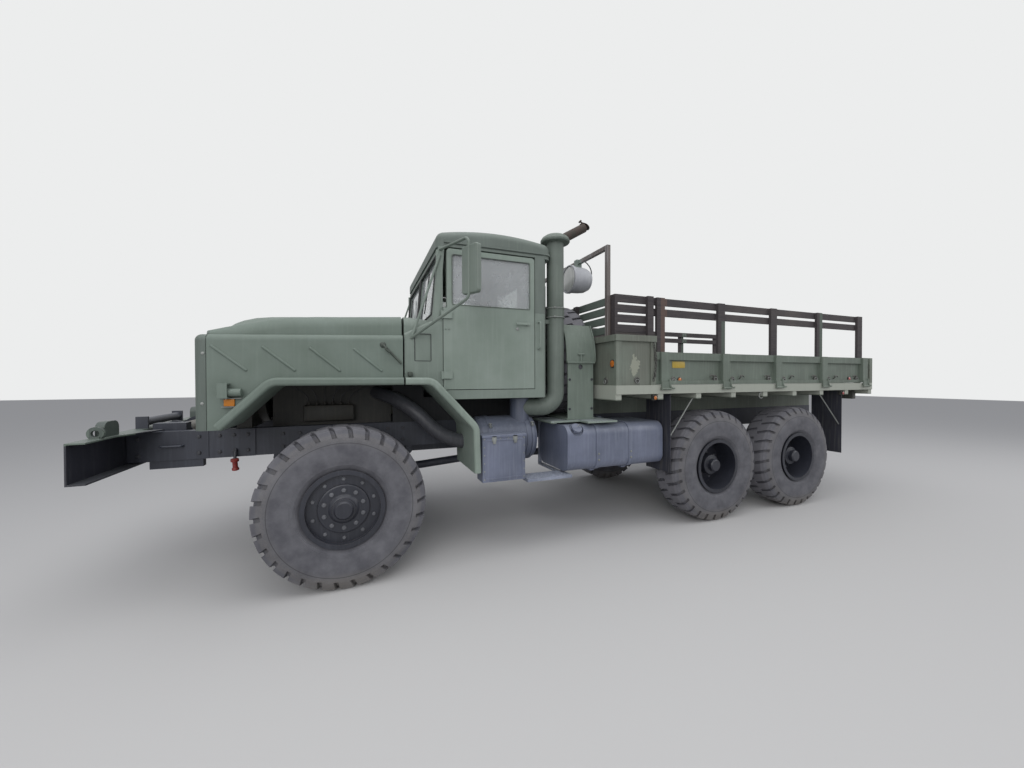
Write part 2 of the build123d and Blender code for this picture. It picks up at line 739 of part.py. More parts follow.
def rear_rim(centre, axis):
    half = TYRE_W / 2
    disc = half - REAR_DISC_INSET
    rim = turned(rim_barrel(), centre, axis)
    rim += turned(
        [
            (SPINDLE_R + PIN_GAP, disc - DISC_T - 60),
            (HUB_R, disc - DISC_T - 60),
            (HUB_R, disc - DISC_T),
            (RIM_R - RIM_WALL + 1, disc - DISC_T),
            (RIM_R - RIM_WALL + 1, disc),
            (HUB_R, disc),
            (HUB_R - 10, half - 110),
            (HUB_CAP_R, half - 100),
            (HUB_CAP_R, half - 55),
            (HUB_CAP_R - 12, half - 43),
            (0, half - 43),
            (0, disc - DISC_T),
            (SPINDLE_R + PIN_GAP, disc - DISC_T),
        ],
        centre,
        axis,
    )
    return rim


def front_rim(centre, axis):
    half = TYRE_W / 2
    disc = half - FRONT_DISC_INSET
    rim = turned(rim_barrel(), centre, axis)
    rim += turned(
        [
            (SPINDLE_R + PIN_GAP, disc - DISC_T - 90),
            (HUB_R, disc - DISC_T - 90),
            (HUB_R, disc - DISC_T),
            (RIM_R - RIM_WALL + 1, disc - DISC_T),
            (RIM_R - RIM_WALL + 1, disc),
            (HUB_PLATE_R, disc),
            (HUB_PLATE_R - 4, disc + HUB_PLATE_T - 4),
            (HUB_PLATE_R - 12, disc + HUB_PLATE_T),
            (HUB_R - 10, disc + HUB_PLATE_T),
            (HUB_R - 26, disc + 32),
            (HUB_CAP_R + 16, disc + 36),
            (HUB_CAP_R + 14, disc + 48),
            (HUB_CAP_R, disc + 50),
            (HUB_CAP_R, disc + 64),
            (HUB_CAP_R - 12, disc + 78),
            (0, disc + 78),
            (0, disc - DISC_T),
            (SPINDLE_R + PIN_GAP, disc - DISC_T),
        ],
        centre,
        axis,
    )
    return rim


# Hood: a tilting shell with both front fenders, open below the arches
def arch_path():
    """Side line of the wheel arch, from its front tip back to the fender's bottom."""
    return [
        (ARCH_TIP_X, HOOD_BOTTOM_Z),
        (ARCH_KINK_X, ARCH_Z),
        (ARCH_REAR_KINK_X, ARCH_Z),
        (FENDER_DROP_X, FENDER_DROP_Z),
        (FENDER_DROP_X - 10, FENDER_BOTTOM_Z),
    ]


def hood_shape(inset):
    """The hood's outer form, drawn in by the inset, with its edges rounded."""
    front = HOOD_FRONT_X - inset
    half = HOOD_HALF_W - inset
    low = slab_y(
        [
            (front, HOOD_BOTTOM_Z - 2),
            (front, HOOD_FRONT_Z - inset),
            (HOOD_REAR_X, HOOD_REAR_Z - inset),
            (HOOD_REAR_X, HOOD_BOTTOM_Z - 2),
        ],
        -half,
        half,
    )
    uprights = edges_at(low.edges().filter_by(Axis.Z), Axis.X, front)
    brow = edges_at(edges_at(low.edges().filter_by(Axis.Y), Axis.X, front), Axis.Z, HOOD_FRONT_Z - inset)
    shoulder_z = (HOOD_FRONT_Z + HOOD_REAR_Z) / 2 - inset
    shoulders = edges_at(low.edges(), Axis.Z, shoulder_z).filter_by_position(Axis.X, HOOD_REAR_X + 1, front - 1)
    low = fillet(uprights + brow + shoulders, HOOD_EDGE_R - inset)
    nose = CAP_SEAM_X - inset
    hump = slab_y(
        [
            (nose, HOOD_FRONT_Z - inset - HUMP_SINK),
            (nose, HOOD_FRONT_Z - inset),
            (nose - HUMP_RUN, HUMP_FRONT_Z - inset),
            (HOOD_REAR_X, HUMP_REAR_Z - inset),
            (HOOD_REAR_X, HOOD_FRONT_Z - inset - HUMP_SINK),
        ],
        -HUMP_HALF_W + inset,
        HUMP_HALF_W - inset,
    )
    kink = edges_at(edges_at(hump.edges().filter_by(Axis.Y), Axis.X, nose - HUMP_RUN), Axis.Z, HUMP_FRONT_Z - inset)
    hump = fillet(kink, HUMP_NOSE_R - inset)
    side_lines = hump.edges().filter_by_position(Axis.Z, HOOD_FRONT_Z - inset + 5, HUMP_REAR_Z)
    side_lines = side_lines.filter_by_position(Axis.X, HOOD_REAR_X + 1, nose - 1)
    side_lines = ShapeList([line for line in side_lines if abs(abs(line.center().Y) - (HUMP_HALF_W - inset)) < 1])
    return low + fillet(side_lines, HUMP_EDGE_R - inset)


def hood():
    shell = hood_shape(0) - hood_shape(SHELL_T)
    arch = arch_path()[:2] + [(HOOD_REAR_X - 5, ARCH_Z), (HOOD_REAR_X - 5, HOOD_BOTTOM_Z - 20)]
    arch.append((ARCH_TIP_X, HOOD_BOTTOM_Z - 20))
    shell -= slab_y(arch, -HOOD_HALF_W - 5, HOOD_HALF_W + 5)
    shell -= block(
        HOOD_FRONT_X - SHELL_T - 5,
        HOOD_FRONT_X + 5,
        -GRILLE_HALF_W,
        GRILLE_HALF_W,
        GRILLE_BOTTOM_Z,
        GRILLE_TOP_Z,
    )
    tip = (ARCH_TIP_X, HOOD_BOTTOM_Z)
    kink = (ARCH_KINK_X, ARCH_Z)
    end = (HOOD_REAR_X, ARCH_Z)
    liner = fender_band([tip, kink, end], 560, HOOD_HALF_W, FENDER_T)
    flare = fender_band([tip, kink, end], HOOD_HALF_W - FLARE_EDGE_R, HOOD_HALF_W + FLARE_DEPTH, FLARE_T, FLARE_EDGE_R)
    y0 = HOOD_EAR_Y
    y1 = HOOD_EAR_Y + HOOD_EAR_T
    ear = block(HOOD_FRONT_X - SHELL_T, HOOD_PIVOT_X + 24, y0, y1, HOOD_PIVOT_Z - 24, HOOD_BOTTOM_Z + 40)
    ear -= rod((HOOD_PIVOT_X, y0, HOOD_PIVOT_Z), (HOOD_PIVOT_X, y1, HOOD_PIVOT_Z), HOOD_PIN_R + PIN_GAP)
    seam = block(CAP_SEAM_X, CAP_SEAM_X + SEAM_W, -HOOD_HALF_W - 5, HOOD_HALF_W + 5, HOOD_BOTTOM_Z, HUMP_REAR_Z)
    shell -= seam - hood_shape(SEAM_DEPTH)
    return shell + both_sides(liner + flare + ear + side_ribs() + lamp_guard())


def side_ribs():
    """Slanted stiffening ribs pressed out of the hood's side."""
    ribs = []
    for i in range(RIB_COUNT):
        x = RIB_FRONT_X - i * RIB_PITCH
        upper = (x, HOOD_HALF_W, RIB_TOP_Z)
        lower = (x - RIB_RUN, HOOD_HALF_W, RIB_TOP_Z - RIB_DROP)
        ribs.append(rod(lower, upper, RIB_R))
        ribs.append(Pos(*upper) * Sphere(RIB_R))
        ribs.append(Pos(*lower) * Sphere(RIB_R))
    return Part() + ribs


def lamp_guard():
    """Hoop round the side lamp, and the marker's base plate below it."""
    x = SIDE_LAMP_X
    z = SIDE_LAMP_Z
    hoop = block(x + 16, x + 76, HOOD_HALF_W - 4, HOOD_HALF_W + 78, z - 40, z + 64)
    hoop -= block(x + 16, x + 76, HOOD_HALF_W, HOOD_HALF_W + 70, z - 32, z + 56)
    lamp = rod((x - 58, HOOD_HALF_W + 36, z), (x + 34, HOOD_HALF_W + 36, z), 27)
    foot = block(x - 46, x - 6, HOOD_HALF_W - 4, HOOD_HALF_W + 20, z - 20, z + 20)
    plate = block(x - 71, x + 72, HOOD_HALF_W - 4, HOOD_HALF_W + 12, z - 105, z - 40)
    return hoop + lamp + foot + plate


def fender_band(points, y0, y1, thickness, round_r=0):
    """A strip of sheet that follows the arch line, thickness measured outward from it."""
    path = FilletPolyline(*[(x, 0, z) for x, z in points], radius=90)
    (x0, z0), (x1, z1) = points[:2]
    run = math.hypot(x1 - x0, z1 - z0)
    normal = Vector(-(z1 - z0) / run, 0, (x1 - x0) / run)
    normal = normal if normal.Z > 0 else -normal
    middle = Vector(x0, 0, z0) + normal * (thickness / 2) + Vector(0, (y0 + y1) / 2, 0)
    plane = Plane(origin=middle, x_dir=normal, z_dir=Vector(x1 - x0, 0, z1 - z0))
    section = RectangleRounded(thickness, y1 - y0, round_r) if round_r else Rectangle(thickness, y1 - y0)
    return sweep(plane * section, path=path)


def grille():
    x = HOOD_FRONT_X - SHELL_T
    bar = GRILLE_BAR
    w = GRILLE_HALF_W
    body = block(x, x + GRILLE_T, -w, w, GRILLE_BOTTOM_Z, GRILLE_TOP_Z)
    body -= block(x, x + GRILLE_T, bar - w, w - bar, GRILLE_BOTTOM_Z + bar, GRILLE_TOP_Z - bar)
    pitch = 2 * (w - bar) / (GRILLE_SLATS + 1)
    slat_x = x + GRILLE_T / 2
    for i in range(GRILLE_SLATS):
        y = bar - w + (i + 1) * pitch
        slat = Pos(slat_x, y) * SlotOverall(GRILLE_SLAT_W, GRILLE_T)
        body += extrude(Pos(0, 0, GRILLE_BOTTOM_Z + bar) * slat, amount=GRILLE_TOP_Z - GRILLE_BOTTOM_Z - 2 * bar)
    return body


def head_lamps():
    bowl = turned(
        [(0, -6), (118, -6), (122, 0), (122, 14), (112, 22), (100, 22), (98, 14), (0, 14)],
        (HOOD_FRONT_X + 6, HEAD_LAMP_Y, HEAD_LAMP_Z),
        (1, 0, 0),
    )
    lens_r = 96
    ball_r = 210
    face_x = HOOD_FRONT_X + 20
    back = math.sqrt(ball_r**2 - lens_r**2)
    lens = Pos(face_x - back, HEAD_LAMP_Y, HEAD_LAMP_Z) * Sphere(ball_r)
    lens &= rod((face_x, HEAD_LAMP_Y, HEAD_LAMP_Z), (face_x + 60, HEAD_LAMP_Y, HEAD_LAMP_Z), lens_r)
    marker = turned(
        [(0, 0), (52, 0), (52, 40), (44, 52), (0, 56)],
        (HOOD_FRONT_X, HEAD_LAMP_Y + 40, HEAD_LAMP_Z + 190),
        (1, 0, 0),
    )
    side_lens = rounded_block(
        SIDE_LAMP_X - 15,
        SIDE_LAMP_X + 50,
        HOOD_HALF_W + 12,
        HOOD_HALF_W + 26,
        SIDE_LAMP_Z - 98,
        SIDE_LAMP_Z - 47,
        5,
    )
    return both_sides(bowl + lens + marker + side_lens)


# Rear half of the front fenders, fixed below the cab
def rear_fenders():
    points = [(CAB_FRONT_X, ARCH_Z)] + arch_path()[2:]
    sheet = fender_band(points, SPLASH_INNER_Y, HOOD_HALF_W, FENDER_T)
    flare = fender_band(points, HOOD_HALF_W - FLARE_EDGE_R, HOOD_HALF_W + FLARE_DEPTH, FLARE_T, FLARE_EDGE_R)
    return both_sides(sheet + flare)


# Cab tub: floor, cowl, rear wall and sides with door openings
def above_fender(distance, z):
    """X of a line that runs above the rear fender's slope at the given distance, at height z."""
    run = ARCH_REAR_KINK_X - FENDER_DROP_X
    rise = ARCH_Z - FENDER_DROP_Z
    return ARCH_REAR_KINK_X - (ARCH_Z - z) * run / rise - distance * math.hypot(run, rise) / rise


def cab_tub():
    gap = FENDER_T + CAB_TO_FENDER
    outline = [
        (CAB_REAR_X, SILL_Z),
        (above_fender(gap, SILL_Z), SILL_Z),
        (above_fender(gap, ARCH_Z + gap), ARCH_Z + gap),
        (CAB_FRONT_X, ARCH_Z + gap),
        (CAB_FRONT_X, COWL_FRONT_Z),
        (SCREEN_BASE_X + 20, COWL_Z),
        (DOOR_FRONT_X + DOOR_GAP, COWL_Z),
        (DOOR_FRONT_X + DOOR_GAP, BELT_Z),
        (CAB_REAR_X, BELT_Z),
    ]
    tub = slab_y(outline, -CAB_HALF_W, CAB_HALF_W)
    cowl_z = (COWL_FRONT_Z + COWL_Z) / 2
    tub = fillet(edges_at(tub.edges(), Axis.Z, cowl_z).filter_by_position(Axis.X, SCREEN_BASE_X, CAB_FRONT_X - 5), COWL_EDGE_R)
    tub &= rounded_plan(CAB_REAR_X, CAB_FRONT_X + 5, CAB_HALF_W, SILL_Z - 5, BELT_Z + 5, CAB_CORNER_R)
    floor_z = SILL_Z + CAB_WALL
    hollow = slab_y(
        [
            (CAB_REAR_X + CAB_WALL, floor_z),
            (above_fender(gap + CAB_WALL, floor_z), floor_z),
            (above_fender(gap + CAB_WALL, ARCH_Z + gap + CAB_WALL), ARCH_Z + gap + CAB_WALL),
            (CAB_FRONT_X - CAB_WALL, ARCH_Z + gap + CAB_WALL),
            (CAB_FRONT_X - CAB_WALL, COWL_FRONT_Z - CAB_WALL),
            (SCREEN_BASE_X - 40, COWL_Z - CAB_WALL),
            (SCREEN_BASE_X - 40, BELT_Z + 5),
            (CAB_REAR_X + CAB_WALL, BELT_Z + 5),
        ],
        -CAB_HALF_W + CAB_WALL,
        CAB_HALF_W - CAB_WALL,
    )
    inner_r = CAB_CORNER_R - CAB_WALL
    tub -= hollow & rounded_plan(
        CAB_REAR_X + CAB_WALL, CAB_FRONT_X, CAB_HALF_W - CAB_WALL, SILL_Z, BELT_Z + 10, inner_r
    )
    door_hole = block(
        DOOR_REAR_X,
        DOOR_FRONT_X,
        CAB_HALF_W - CAB_WALL - 10,
        CAB_HALF_W + 5,
        DOOR_BOTTOM_Z,
        BELT_Z + 5,
    )
    panel_x = CAB_FRONT_X - COWL_PANEL_INSET
    press = block(
        panel_x - COWL_PANEL_L,
        panel_x,
        CAB_HALF_W - PRESS_DEPTH,
        CAB_HALF_W + 5,
        COWL_PANEL_Z,
        COWL_PANEL_Z + COWL_PANEL_H,
    )
    press = fillet(press.edges().filter_by(Axis.Y), 18)
    bar_x = (DOOR_REAR_X + CAB_REAR_X + CAB_CORNER_R) / 2
    bar_y = CAB_HALF_W + GRAB_BAR_OUT
    bar_top = GRAB_BAR_Z + GRAB_BAR_H
    bar = pipe(
        [
            (bar_x, CAB_HALF_W - 5, GRAB_BAR_Z),
            (bar_x, bar_y, GRAB_BAR_Z),
            (bar_x, bar_y, bar_top),
            (bar_x, CAB_HALF_W - 5, bar_top),
        ],
        GRAB_BAR_R,
        22,
    )
    return tub - both_sides(door_hole + press) + both_sides(bar)


# Hard top: roof shell, rear wall and the posts behind the doors
def roof_form(inset, radius):
    """The roof's crowned outer form, drawn in by the inset, with every upper edge rounded."""
    x1 = DOOR_FRONT_X + ROOF_BROW - inset
    x0 = ROOF_REAR_X + inset
    base = SCREEN_TOP_Z - (5 if inset else 0)
    front_top = (x1, 0, ROOF_FRONT_Z - inset)
    rear_top = (x0, 0, ROOF_REAR_Z - inset)
    crown = ThreePointArc(front_top, ((x0 + x1) / 2, 0, ROOF_TOP_Z - inset), rear_top)
    walls = Polyline(rear_top, (x0, 0, base), (x1, 0, base), front_top)
    half = ROOF_HALF_W - inset
    body = Pos(0, -half, 0) * extrude(make_face(crown + walls), amount=2 * half, dir=(0, 1, 0))
    low = edges_at(body.edges(), Axis.Z, base)
    return fillet(ShapeList([e for e in body.edges() if e not in low]), radius)


def cab_roof():
    roof = roof_form(0, ROOF_EDGE_R) - roof_form(ROOF_T, ROOF_EDGE_R - ROOF_T)
    x1 = DOOR_FRONT_X + ROOF_BROW
    z0 = GUTTER_Z
    gutter = block(ROOF_REAR_X - GUTTER_OUT, x1 - 60, -ROOF_HALF_W - GUTTER_OUT, ROOF_HALF_W + GUTTER_OUT, z0, z0 + GUTTER_H)
    gutter = fillet(edges_at(gutter.edges().filter_by(Axis.Z), Axis.X, ROOF_REAR_X - GUTTER_OUT), ROOF_EDGE_R + GUTTER_OUT)
    gutter -= roof_form(ROOF_T / 2, ROOF_EDGE_R - ROOF_T / 2)
    top = SCREEN_TOP_Z + 20
    wall = rounded_plan(CAB_REAR_X, DOOR_REAR_X, CAB_HALF_W, BELT_Z, top, CAB_CORNER_R)
    wall -= rounded_plan(
        CAB_REAR_X + CAB_WALL, DOOR_REAR_X + 5, CAB_HALF_W - CAB_WALL, BELT_Z - 5, top + 5, CAB_CORNER_R - CAB_WALL
    )
    wall -= rear_window(CAB_REAR_X - 5, CAB_REAR_X + CAB_WALL + 5)
    header = block(DOOR_REAR_X - 5, x1 - 105, CAB_HALF_W - 45, CAB_HALF_W, SCREEN_TOP_Z, top)
    return roof + gutter + wall + both_sides(header)


def rear_window(x0, x1):
    pane = block(x0, x1, -REAR_PANE_HALF_W, REAR_PANE_HALF_W, REAR_PANE_Z, REAR_PANE_Z + REAR_PANE_H)
    return fillet(pane.edges().filter_by(Axis.X), PANE_CORNER_R)


# Windscreen frame: a leaning frame with two panes and a centre bar
def screen_outline(x_shift, thickness):
    x = SCREEN_BASE_X + x_shift
    return [
        (x, COWL_Z),
        (x - thickness, COWL_Z),
        (x - thickness - SCREEN_LEAN, SCREEN_TOP_Z),
        (x - SCREEN_LEAN, SCREEN_TOP_Z),
    ]


def pane_cut(y0, y1, z0, z1, x_shift, thickness):
    """The part of the leaning screen between the given widths and heights, with rounded corners."""
    plate = slab_y(screen_outline(x_shift, thickness), y0, y1)
    plate &= block(SCREEN_BASE_X - 300, SCREEN_BASE_X + 100, y0, y1, z0, z1)
    return fillet(plate.edges().filter_by(Axis.X), PANE_CORNER_R)


def windscreen_frame():
    body = slab_y(screen_outline(0, SCREEN_T), -CAB_HALF_W + 2, CAB_HALF_W - 2)
    return body - both_sides(pane_cut(30, CAB_HALF_W - 80, COWL_Z + 75, SCREEN_TOP_Z - 60, 20, SCREEN_T + 40))


def cab_glass():
    screen = pane_cut(30, CAB_HALF_W - 80, COWL_Z + 75, SCREEN_TOP_Z - 60, -20, GLASS_T)
    rear = rear_window(CAB_REAR_X + 16, CAB_REAR_X + 16 + GLASS_T)
    return both_sides(screen) + rear


# Doors: lower panel and window frame in one, with the glass as its own piece
def door(side):
    x0 = DOOR_REAR_X + DOOR_GAP
    x1 = DOOR_FRONT_X - DOOR_GAP
    y0 = CAB_HALF_W - CAB_WALL
    panel = block(x0, x1, y0, CAB_HALF_W, DOOR_BOTTOM_Z + DOOR_GAP, BELT_Z)
    upper = block(x0, x1 - 30, y0, CAB_HALF_W, BELT_Z - 5, DOOR_TOP_Z)
    panel += fillet(edges_at(upper.edges().filter_by(Axis.Y), Axis.Z, DOOR_TOP_Z), PANE_CORNER_R)
    panel -= door_window(y0, CAB_HALF_W)
    for z in (1640, 2160):
        panel += rod((DOOR_HINGE_X, DOOR_HINGE_Y, z - 35), (DOOR_HINGE_X, DOOR_HINGE_Y, z + 35), 9)
        panel += block(DOOR_HINGE_X - 90, DOOR_HINGE_X, CAB_HALF_W, DOOR_HINGE_Y + 4, z - 30, z + 30)
    panel += rod((x0 + 78, CAB_HALF_W - 5, HANDLE_Z), (x0 + 78, CAB_HALF_W + 26, HANDLE_Z), 12)
    panel += rounded_block(
        x0 + 58, x0 + 196, CAB_HALF_W + 20, CAB_HALF_W + 34, HANDLE_Z - 11, HANDLE_Z + 11, 5
    )
    return panel if side > 0 else mirrored(panel)


def door_window(y0, y1):
    pane = block(
        DOOR_REAR_X + DOOR_GAP + DOOR_FRAME_W,
        DOOR_FRONT_X - DOOR_GAP - 30 - DOOR_FRAME_W,
        y0,
        y1,
        BELT_Z + 30,
        DOOR_TOP_Z - DOOR_FRAME_W,
    )
    return fillet(pane.edges().filter_by(Axis.Y), PANE_CORNER_R)


def door_glass(side):
    y = CAB_HALF_W - CAB_WALL / 2
    pane = door_window(y, y + GLASS_T)
    return pane if side > 0 else mirrored(pane)


# Cab interior
def seat_places():
    """Side edges of the driver's seat and of the crew bench."""
    return (SEAT_Y - SEAT_HALF_W, SEAT_Y + SEAT_HALF_W), (-SEAT_Y - BENCH_OUT, -SEAT_Y + BENCH_IN)


def seats():
    """Cushions: a squab and a back rest for each seat."""
    x = CAB_REAR_X + CAB_WALL
    floor_z = SILL_Z + CAB_WALL
    cushions = []
    for y0, y1 in seat_places():
        squab_z = floor_z + SEAT_BASE_H
        cushions.append(rounded_block(x + 90, x + 560, y0, y1, squab_z, squab_z + SQUAB_T, 30))
        cushions.append(rounded_block(x + 40, x + 150, y0, y1, squab_z + SQUAB_T + 8, floor_z + SEAT_BACK_H, 30))
    return Part() + cushions


def seat_frames():
    """Steel seat boxes with the plates behind the back rests."""
    x = CAB_REAR_X + CAB_WALL
    floor_z = SILL_Z + CAB_WALL
    body = []
    for y0, y1 in seat_places():
        top = floor_z + SEAT_BASE_H - SEAT_GAP
        box = block(x + 25, x + 535, y0 + 20, y1 - 20, floor_z, top)
        body.append(box + block(x + 25, x + 40 - SEAT_GAP, y0 + 20, y1 - 20, floor_z, floor_z + SEAT_BACK_H - 40))
    return Part() + body


def dashboard():
    x1 = SCREEN_BASE_X - 40
    half = CAB_HALF_W - CAB_WALL
    board = block(x1 - 110, x1, -half, half, COWL_Z - 190, COWL_Z - 10)
    board = fillet(edges_at(board.edges().filter_by(Axis.Y), Axis.X, x1 - 110), 30)
    column = rod(COLUMN_FOOT, COLUMN_TOP, 28)
    return board + column - cab_tub()


def steering_wheel():
    top = Vector(*COLUMN_TOP)
    axis = top - Vector(*COLUMN_FOOT)
    axis = axis / axis.length
    hub_foot = top + axis * PIN_GAP
    plane = Plane(origin=hub_foot + axis * 30, z_dir=axis)
    rim = plane * Torus(WHEEL_RIM_R, 14)
    hub = extrude(Plane(origin=hub_foot, z_dir=axis) * Circle(42), amount=44)
    spokes = plane * Pos(0, 0, -2) * (Box(2 * WHEEL_RIM_R, 22, 12) + Box(22, 2 * WHEEL_RIM_R, 12))
    return rim + hub + spokes


# Mirrors on tubular arms at both front corners of the cab
def mirrors():
    x = MIRROR_X
    foot_low = (CAB_FRONT_X - 55, CAB_HALF_W, COWL_FRONT_Z - 40)
    foot_high = (DOOR_HINGE_X + 12, CAB_HALF_W - 6, SCREEN_TOP_Z - 30)
    low_z = MIRROR_BOTTOM_Z - 30
    high_z = MIRROR_TOP_Z + 60
    loop = pipe([foot_low, (x, MIRROR_Y, low_z), (x, MIRROR_Y, high_z), foot_high], MIRROR_TUBE_R, MIRROR_BEND_R)
    head = Box(MIRROR_T, MIRROR_W, MIRROR_TOP_Z - MIRROR_BOTTOM_Z)
    head = fillet(head.edges().filter_by(Axis.X), 26)
    head = fillet(edges_at(head.edges(), Axis.X, MIRROR_T / 2), 10)
    middle_z = (MIRROR_BOTTOM_Z + MIRROR_TOP_Z) / 2
    head = Pos(x - MIRROR_T / 2, MIRROR_Y, middle_z) * Rot(0, 0, MIRROR_TURN) * head
    return both_sides(loop + head) - windscreen_frame() - cab_tub()


# Battery box, air cleaner canister, steps and fuel tank beside the rails
def battery_box():
    bottom, top = BATTERY_BOTTOM_Z, BATTERY_TOP_Z
    body = block(BATTERY_REAR_X, BATTERY_FRONT_X, BATTERY_INNER_Y, SIDE_KIT_Y, bottom, top)
    body = fillet(edges_at(body.edges().filter_by(Axis.Z), Axis.Y, SIDE_KIT_Y), 16)
    border = block(BATTERY_REAR_X + 22, BATTERY_FRONT_X - 22, SIDE_KIT_Y - 2, SIDE_KIT_Y + 5, bottom + 22, top - 30)
    border = fillet(border.edges().filter_by(Axis.Y), 22)
    inner = block(BATTERY_REAR_X + 36, BATTERY_FRONT_X - 36, SIDE_KIT_Y, SIDE_KIT_Y + 6, bottom + 36, top - 44)
    border -= fillet(inner.edges().filter_by(Axis.Y), 12)
    lid = rounded_block(
        BATTERY_REAR_X - 6, BATTERY_FRONT_X + 6, BATTERY_INNER_Y - 4, SIDE_KIT_Y + 8, top - 16, top + 8, 5
    )
    arms = Part()
    for x in (BATTERY_REAR_X + 60, BATTERY_FRONT_X - 60):
        arms += block(x - 25, x + 25, RAIL_OUTER_Y, BATTERY_INNER_Y + 40, bottom + 10, bottom + 32)
        arms += block(x - 25, x + 25, RAIL_OUTER_Y, RAIL_OUTER_Y + 14, bottom + 10, RAIL_TOP_Z - 60)
    return body + border + lid + arms


def air_tank():
    """Air cleaner canister, slung along the rail, with its inlet collar on top."""
    r = CANISTER_R
    half = CANISTER_L / 2
    middle = CANISTER_REAR_X + half
    centre = (middle, CANISTER_Y, CANISTER_Z)
    body = turned(
        [
            (0, -half),
            (r - 46, -half),
            (r - 12, -half + 12),
            (r, -half + 40),
            (r, half - 40),
            (r - 12, half - 12),
            (r - 46, half),
            (0, half),
        ],
        centre,
        (1, 0, 0),
    )
    # Raised bands: offset from the middle, half width, height
    for offset, half_w, height in ((-half + 56, 12, 7), (-half + 100, 22, 5), (half - 120, 22, 5)):
        band = [(r - 5, offset - half_w), (r + height, offset - half_w), (r + height, offset + half_w), (r - 5, offset + half_w)]
        body += turned(band, centre, (1, 0, 0))
    body += rod((INLET_X, INLET_Y, CANISTER_Z), (INLET_X, INLET_Y, SILL_Z - 15), INLET_R)
    for offset in (-half + 100, half - 120):
        x = middle + offset
        body += block(x - 22, x + 22, RAIL_OUTER_Y, CANISTER_Y, CANISTER_Z - 50, CANISTER_Z + 50)
    return body


def side_steps():
    x0 = TANK_FRONT_X - 45
    x1 = BATTERY_REAR_X - 16
    step = block(x0, x1, SIDE_KIT_Y - 200, SIDE_KIT_Y + 8, STEP_Z, STEP_Z + 28)
    for x in (x0 + 30, x1 - 30):
        step += block(x - 20, x + 20, RAIL_OUTER_Y, SIDE_KIT_Y - 200, STEP_Z, STEP_Z + 22)
        step += block(x - 20, x + 20, RAIL_OUTER_Y, RAIL_OUTER_Y + 14, STEP_Z, TANK_TOP_Z)
    deck_z = TANK_TOP_Z + DECK_LIFT
    deck = block(TANK_FRONT_X - 560, TANK_FRONT_X + 110, 560, SIDE_KIT_Y + 20, deck_z, deck_z + DECK_T)
    deck -= block(TANK_FRONT_X - 215, TANK_FRONT_X + 110, SIDE_KIT_Y - 140, SIDE_KIT_Y + 20, deck_z, deck_z + DECK_T)
    for x in (TANK_FRONT_X - 520, TANK_FRONT_X + 60):
        deck += block(x - 25, x + 25, RAIL_OUTER_Y, SIDE_KIT_Y - 160, deck_z - 12, deck_z)
    return step + deck + mirrored(step)


def fuel_tank():
    body = block(TANK_REAR_X, TANK_FRONT_X, TANK_INNER_Y, SIDE_KIT_Y, TANK_BOTTOM_Z, TANK_TOP_Z)
    body = fillet(body.edges().filter_by(Axis.X), TANK_EDGE_R)
    x = TANK_FRONT_X - FILLER_INSET
    sunk = TANK_EDGE_R * (1 - math.sqrt(0.5))
    mouth = Vector(x, SIDE_KIT_Y - sunk, TANK_TOP_Z - sunk)
    out = Vector(0, 1, 1).normalized()
    body -= rod(mouth - out * FILLER_DEPTH, mouth + out * 60, FILLER_POCKET_R)
    body += rod(mouth - out * (FILLER_DEPTH + 10), mouth - out * 6, FILLER_R - 14)
    body += rod(mouth - out * 8, mouth + out * 14, FILLER_R)
    for x in STRAP_XS:
        band = block(x - 25, x + 25, TANK_INNER_Y - 6, SIDE_KIT_Y + 6, TANK_BOTTOM_Z - 6, TANK_TOP_Z + 6)
        body += fillet(band.edges().filter_by(Axis.X), TANK_EDGE_R)
        body += block(x - 25, x + 25, RAIL_OUTER_Y, TANK_INNER_Y + 60, TANK_BOTTOM_Z + 30, RAIL_TOP_Z - 20)
        body += block(x - 25, x + 25, RAIL_OUTER_Y, SIDE_KIT_Y - 120, TANK_BOTTOM_Z - 30, TANK_BOTTOM_Z)
        body += block(x - 25, x + 25, RAIL_OUTER_Y, TANK_INNER_Y - 6, TANK_BOTTOM_Z - 30, TANK_BOTTOM_Z + 40)
    return body


# Air intake and exhaust stacks behind the cab
def intake_stack():
    low_z = SILL_Z - 20 - INTAKE_R
    body = pipe(
        [
            (INTAKE_X, INTAKE_Y, INTAKE_TOP_Z),
            (INTAKE_X, INTAKE_Y, low_z),
            (INLET_X, INLET_Y, low_z),
        ],
        INTAKE_R,
        150,
    )
    body -= rod((INLET_X, INLET_Y, low_z - 2 * INTAKE_R), (INLET_X, INLET_Y, SILL_Z), INLET_R + PIN_GAP)
    body += turned(
        [(0, -20), (INTAKE_R, -20), (138, -14), (146, -4), (146, 10), (130, 36), (98, 58), (56, 72), (0, 78)],
        (INTAKE_X, INTAKE_Y, INTAKE_TOP_Z),
        (0, 0, 1),
    )
    r = INTAKE_R
    collar = turned(
        [(0, -52), (r + 9, -52), (r + 9, -44), (r + 4, -40), (r + 4, 40), (r + 9, 44), (r + 9, 52), (0, 52)],
        (INTAKE_X, INTAKE_Y, COLLAR_Z),
        (0, 0, 1),
    )
    stay = block(INTAKE_X, CAB_REAR_X, INTAKE_Y - 25, INTAKE_Y + 25, STACK_STAY_Z - 15, STACK_STAY_Z + 25)
    return body + collar + stay


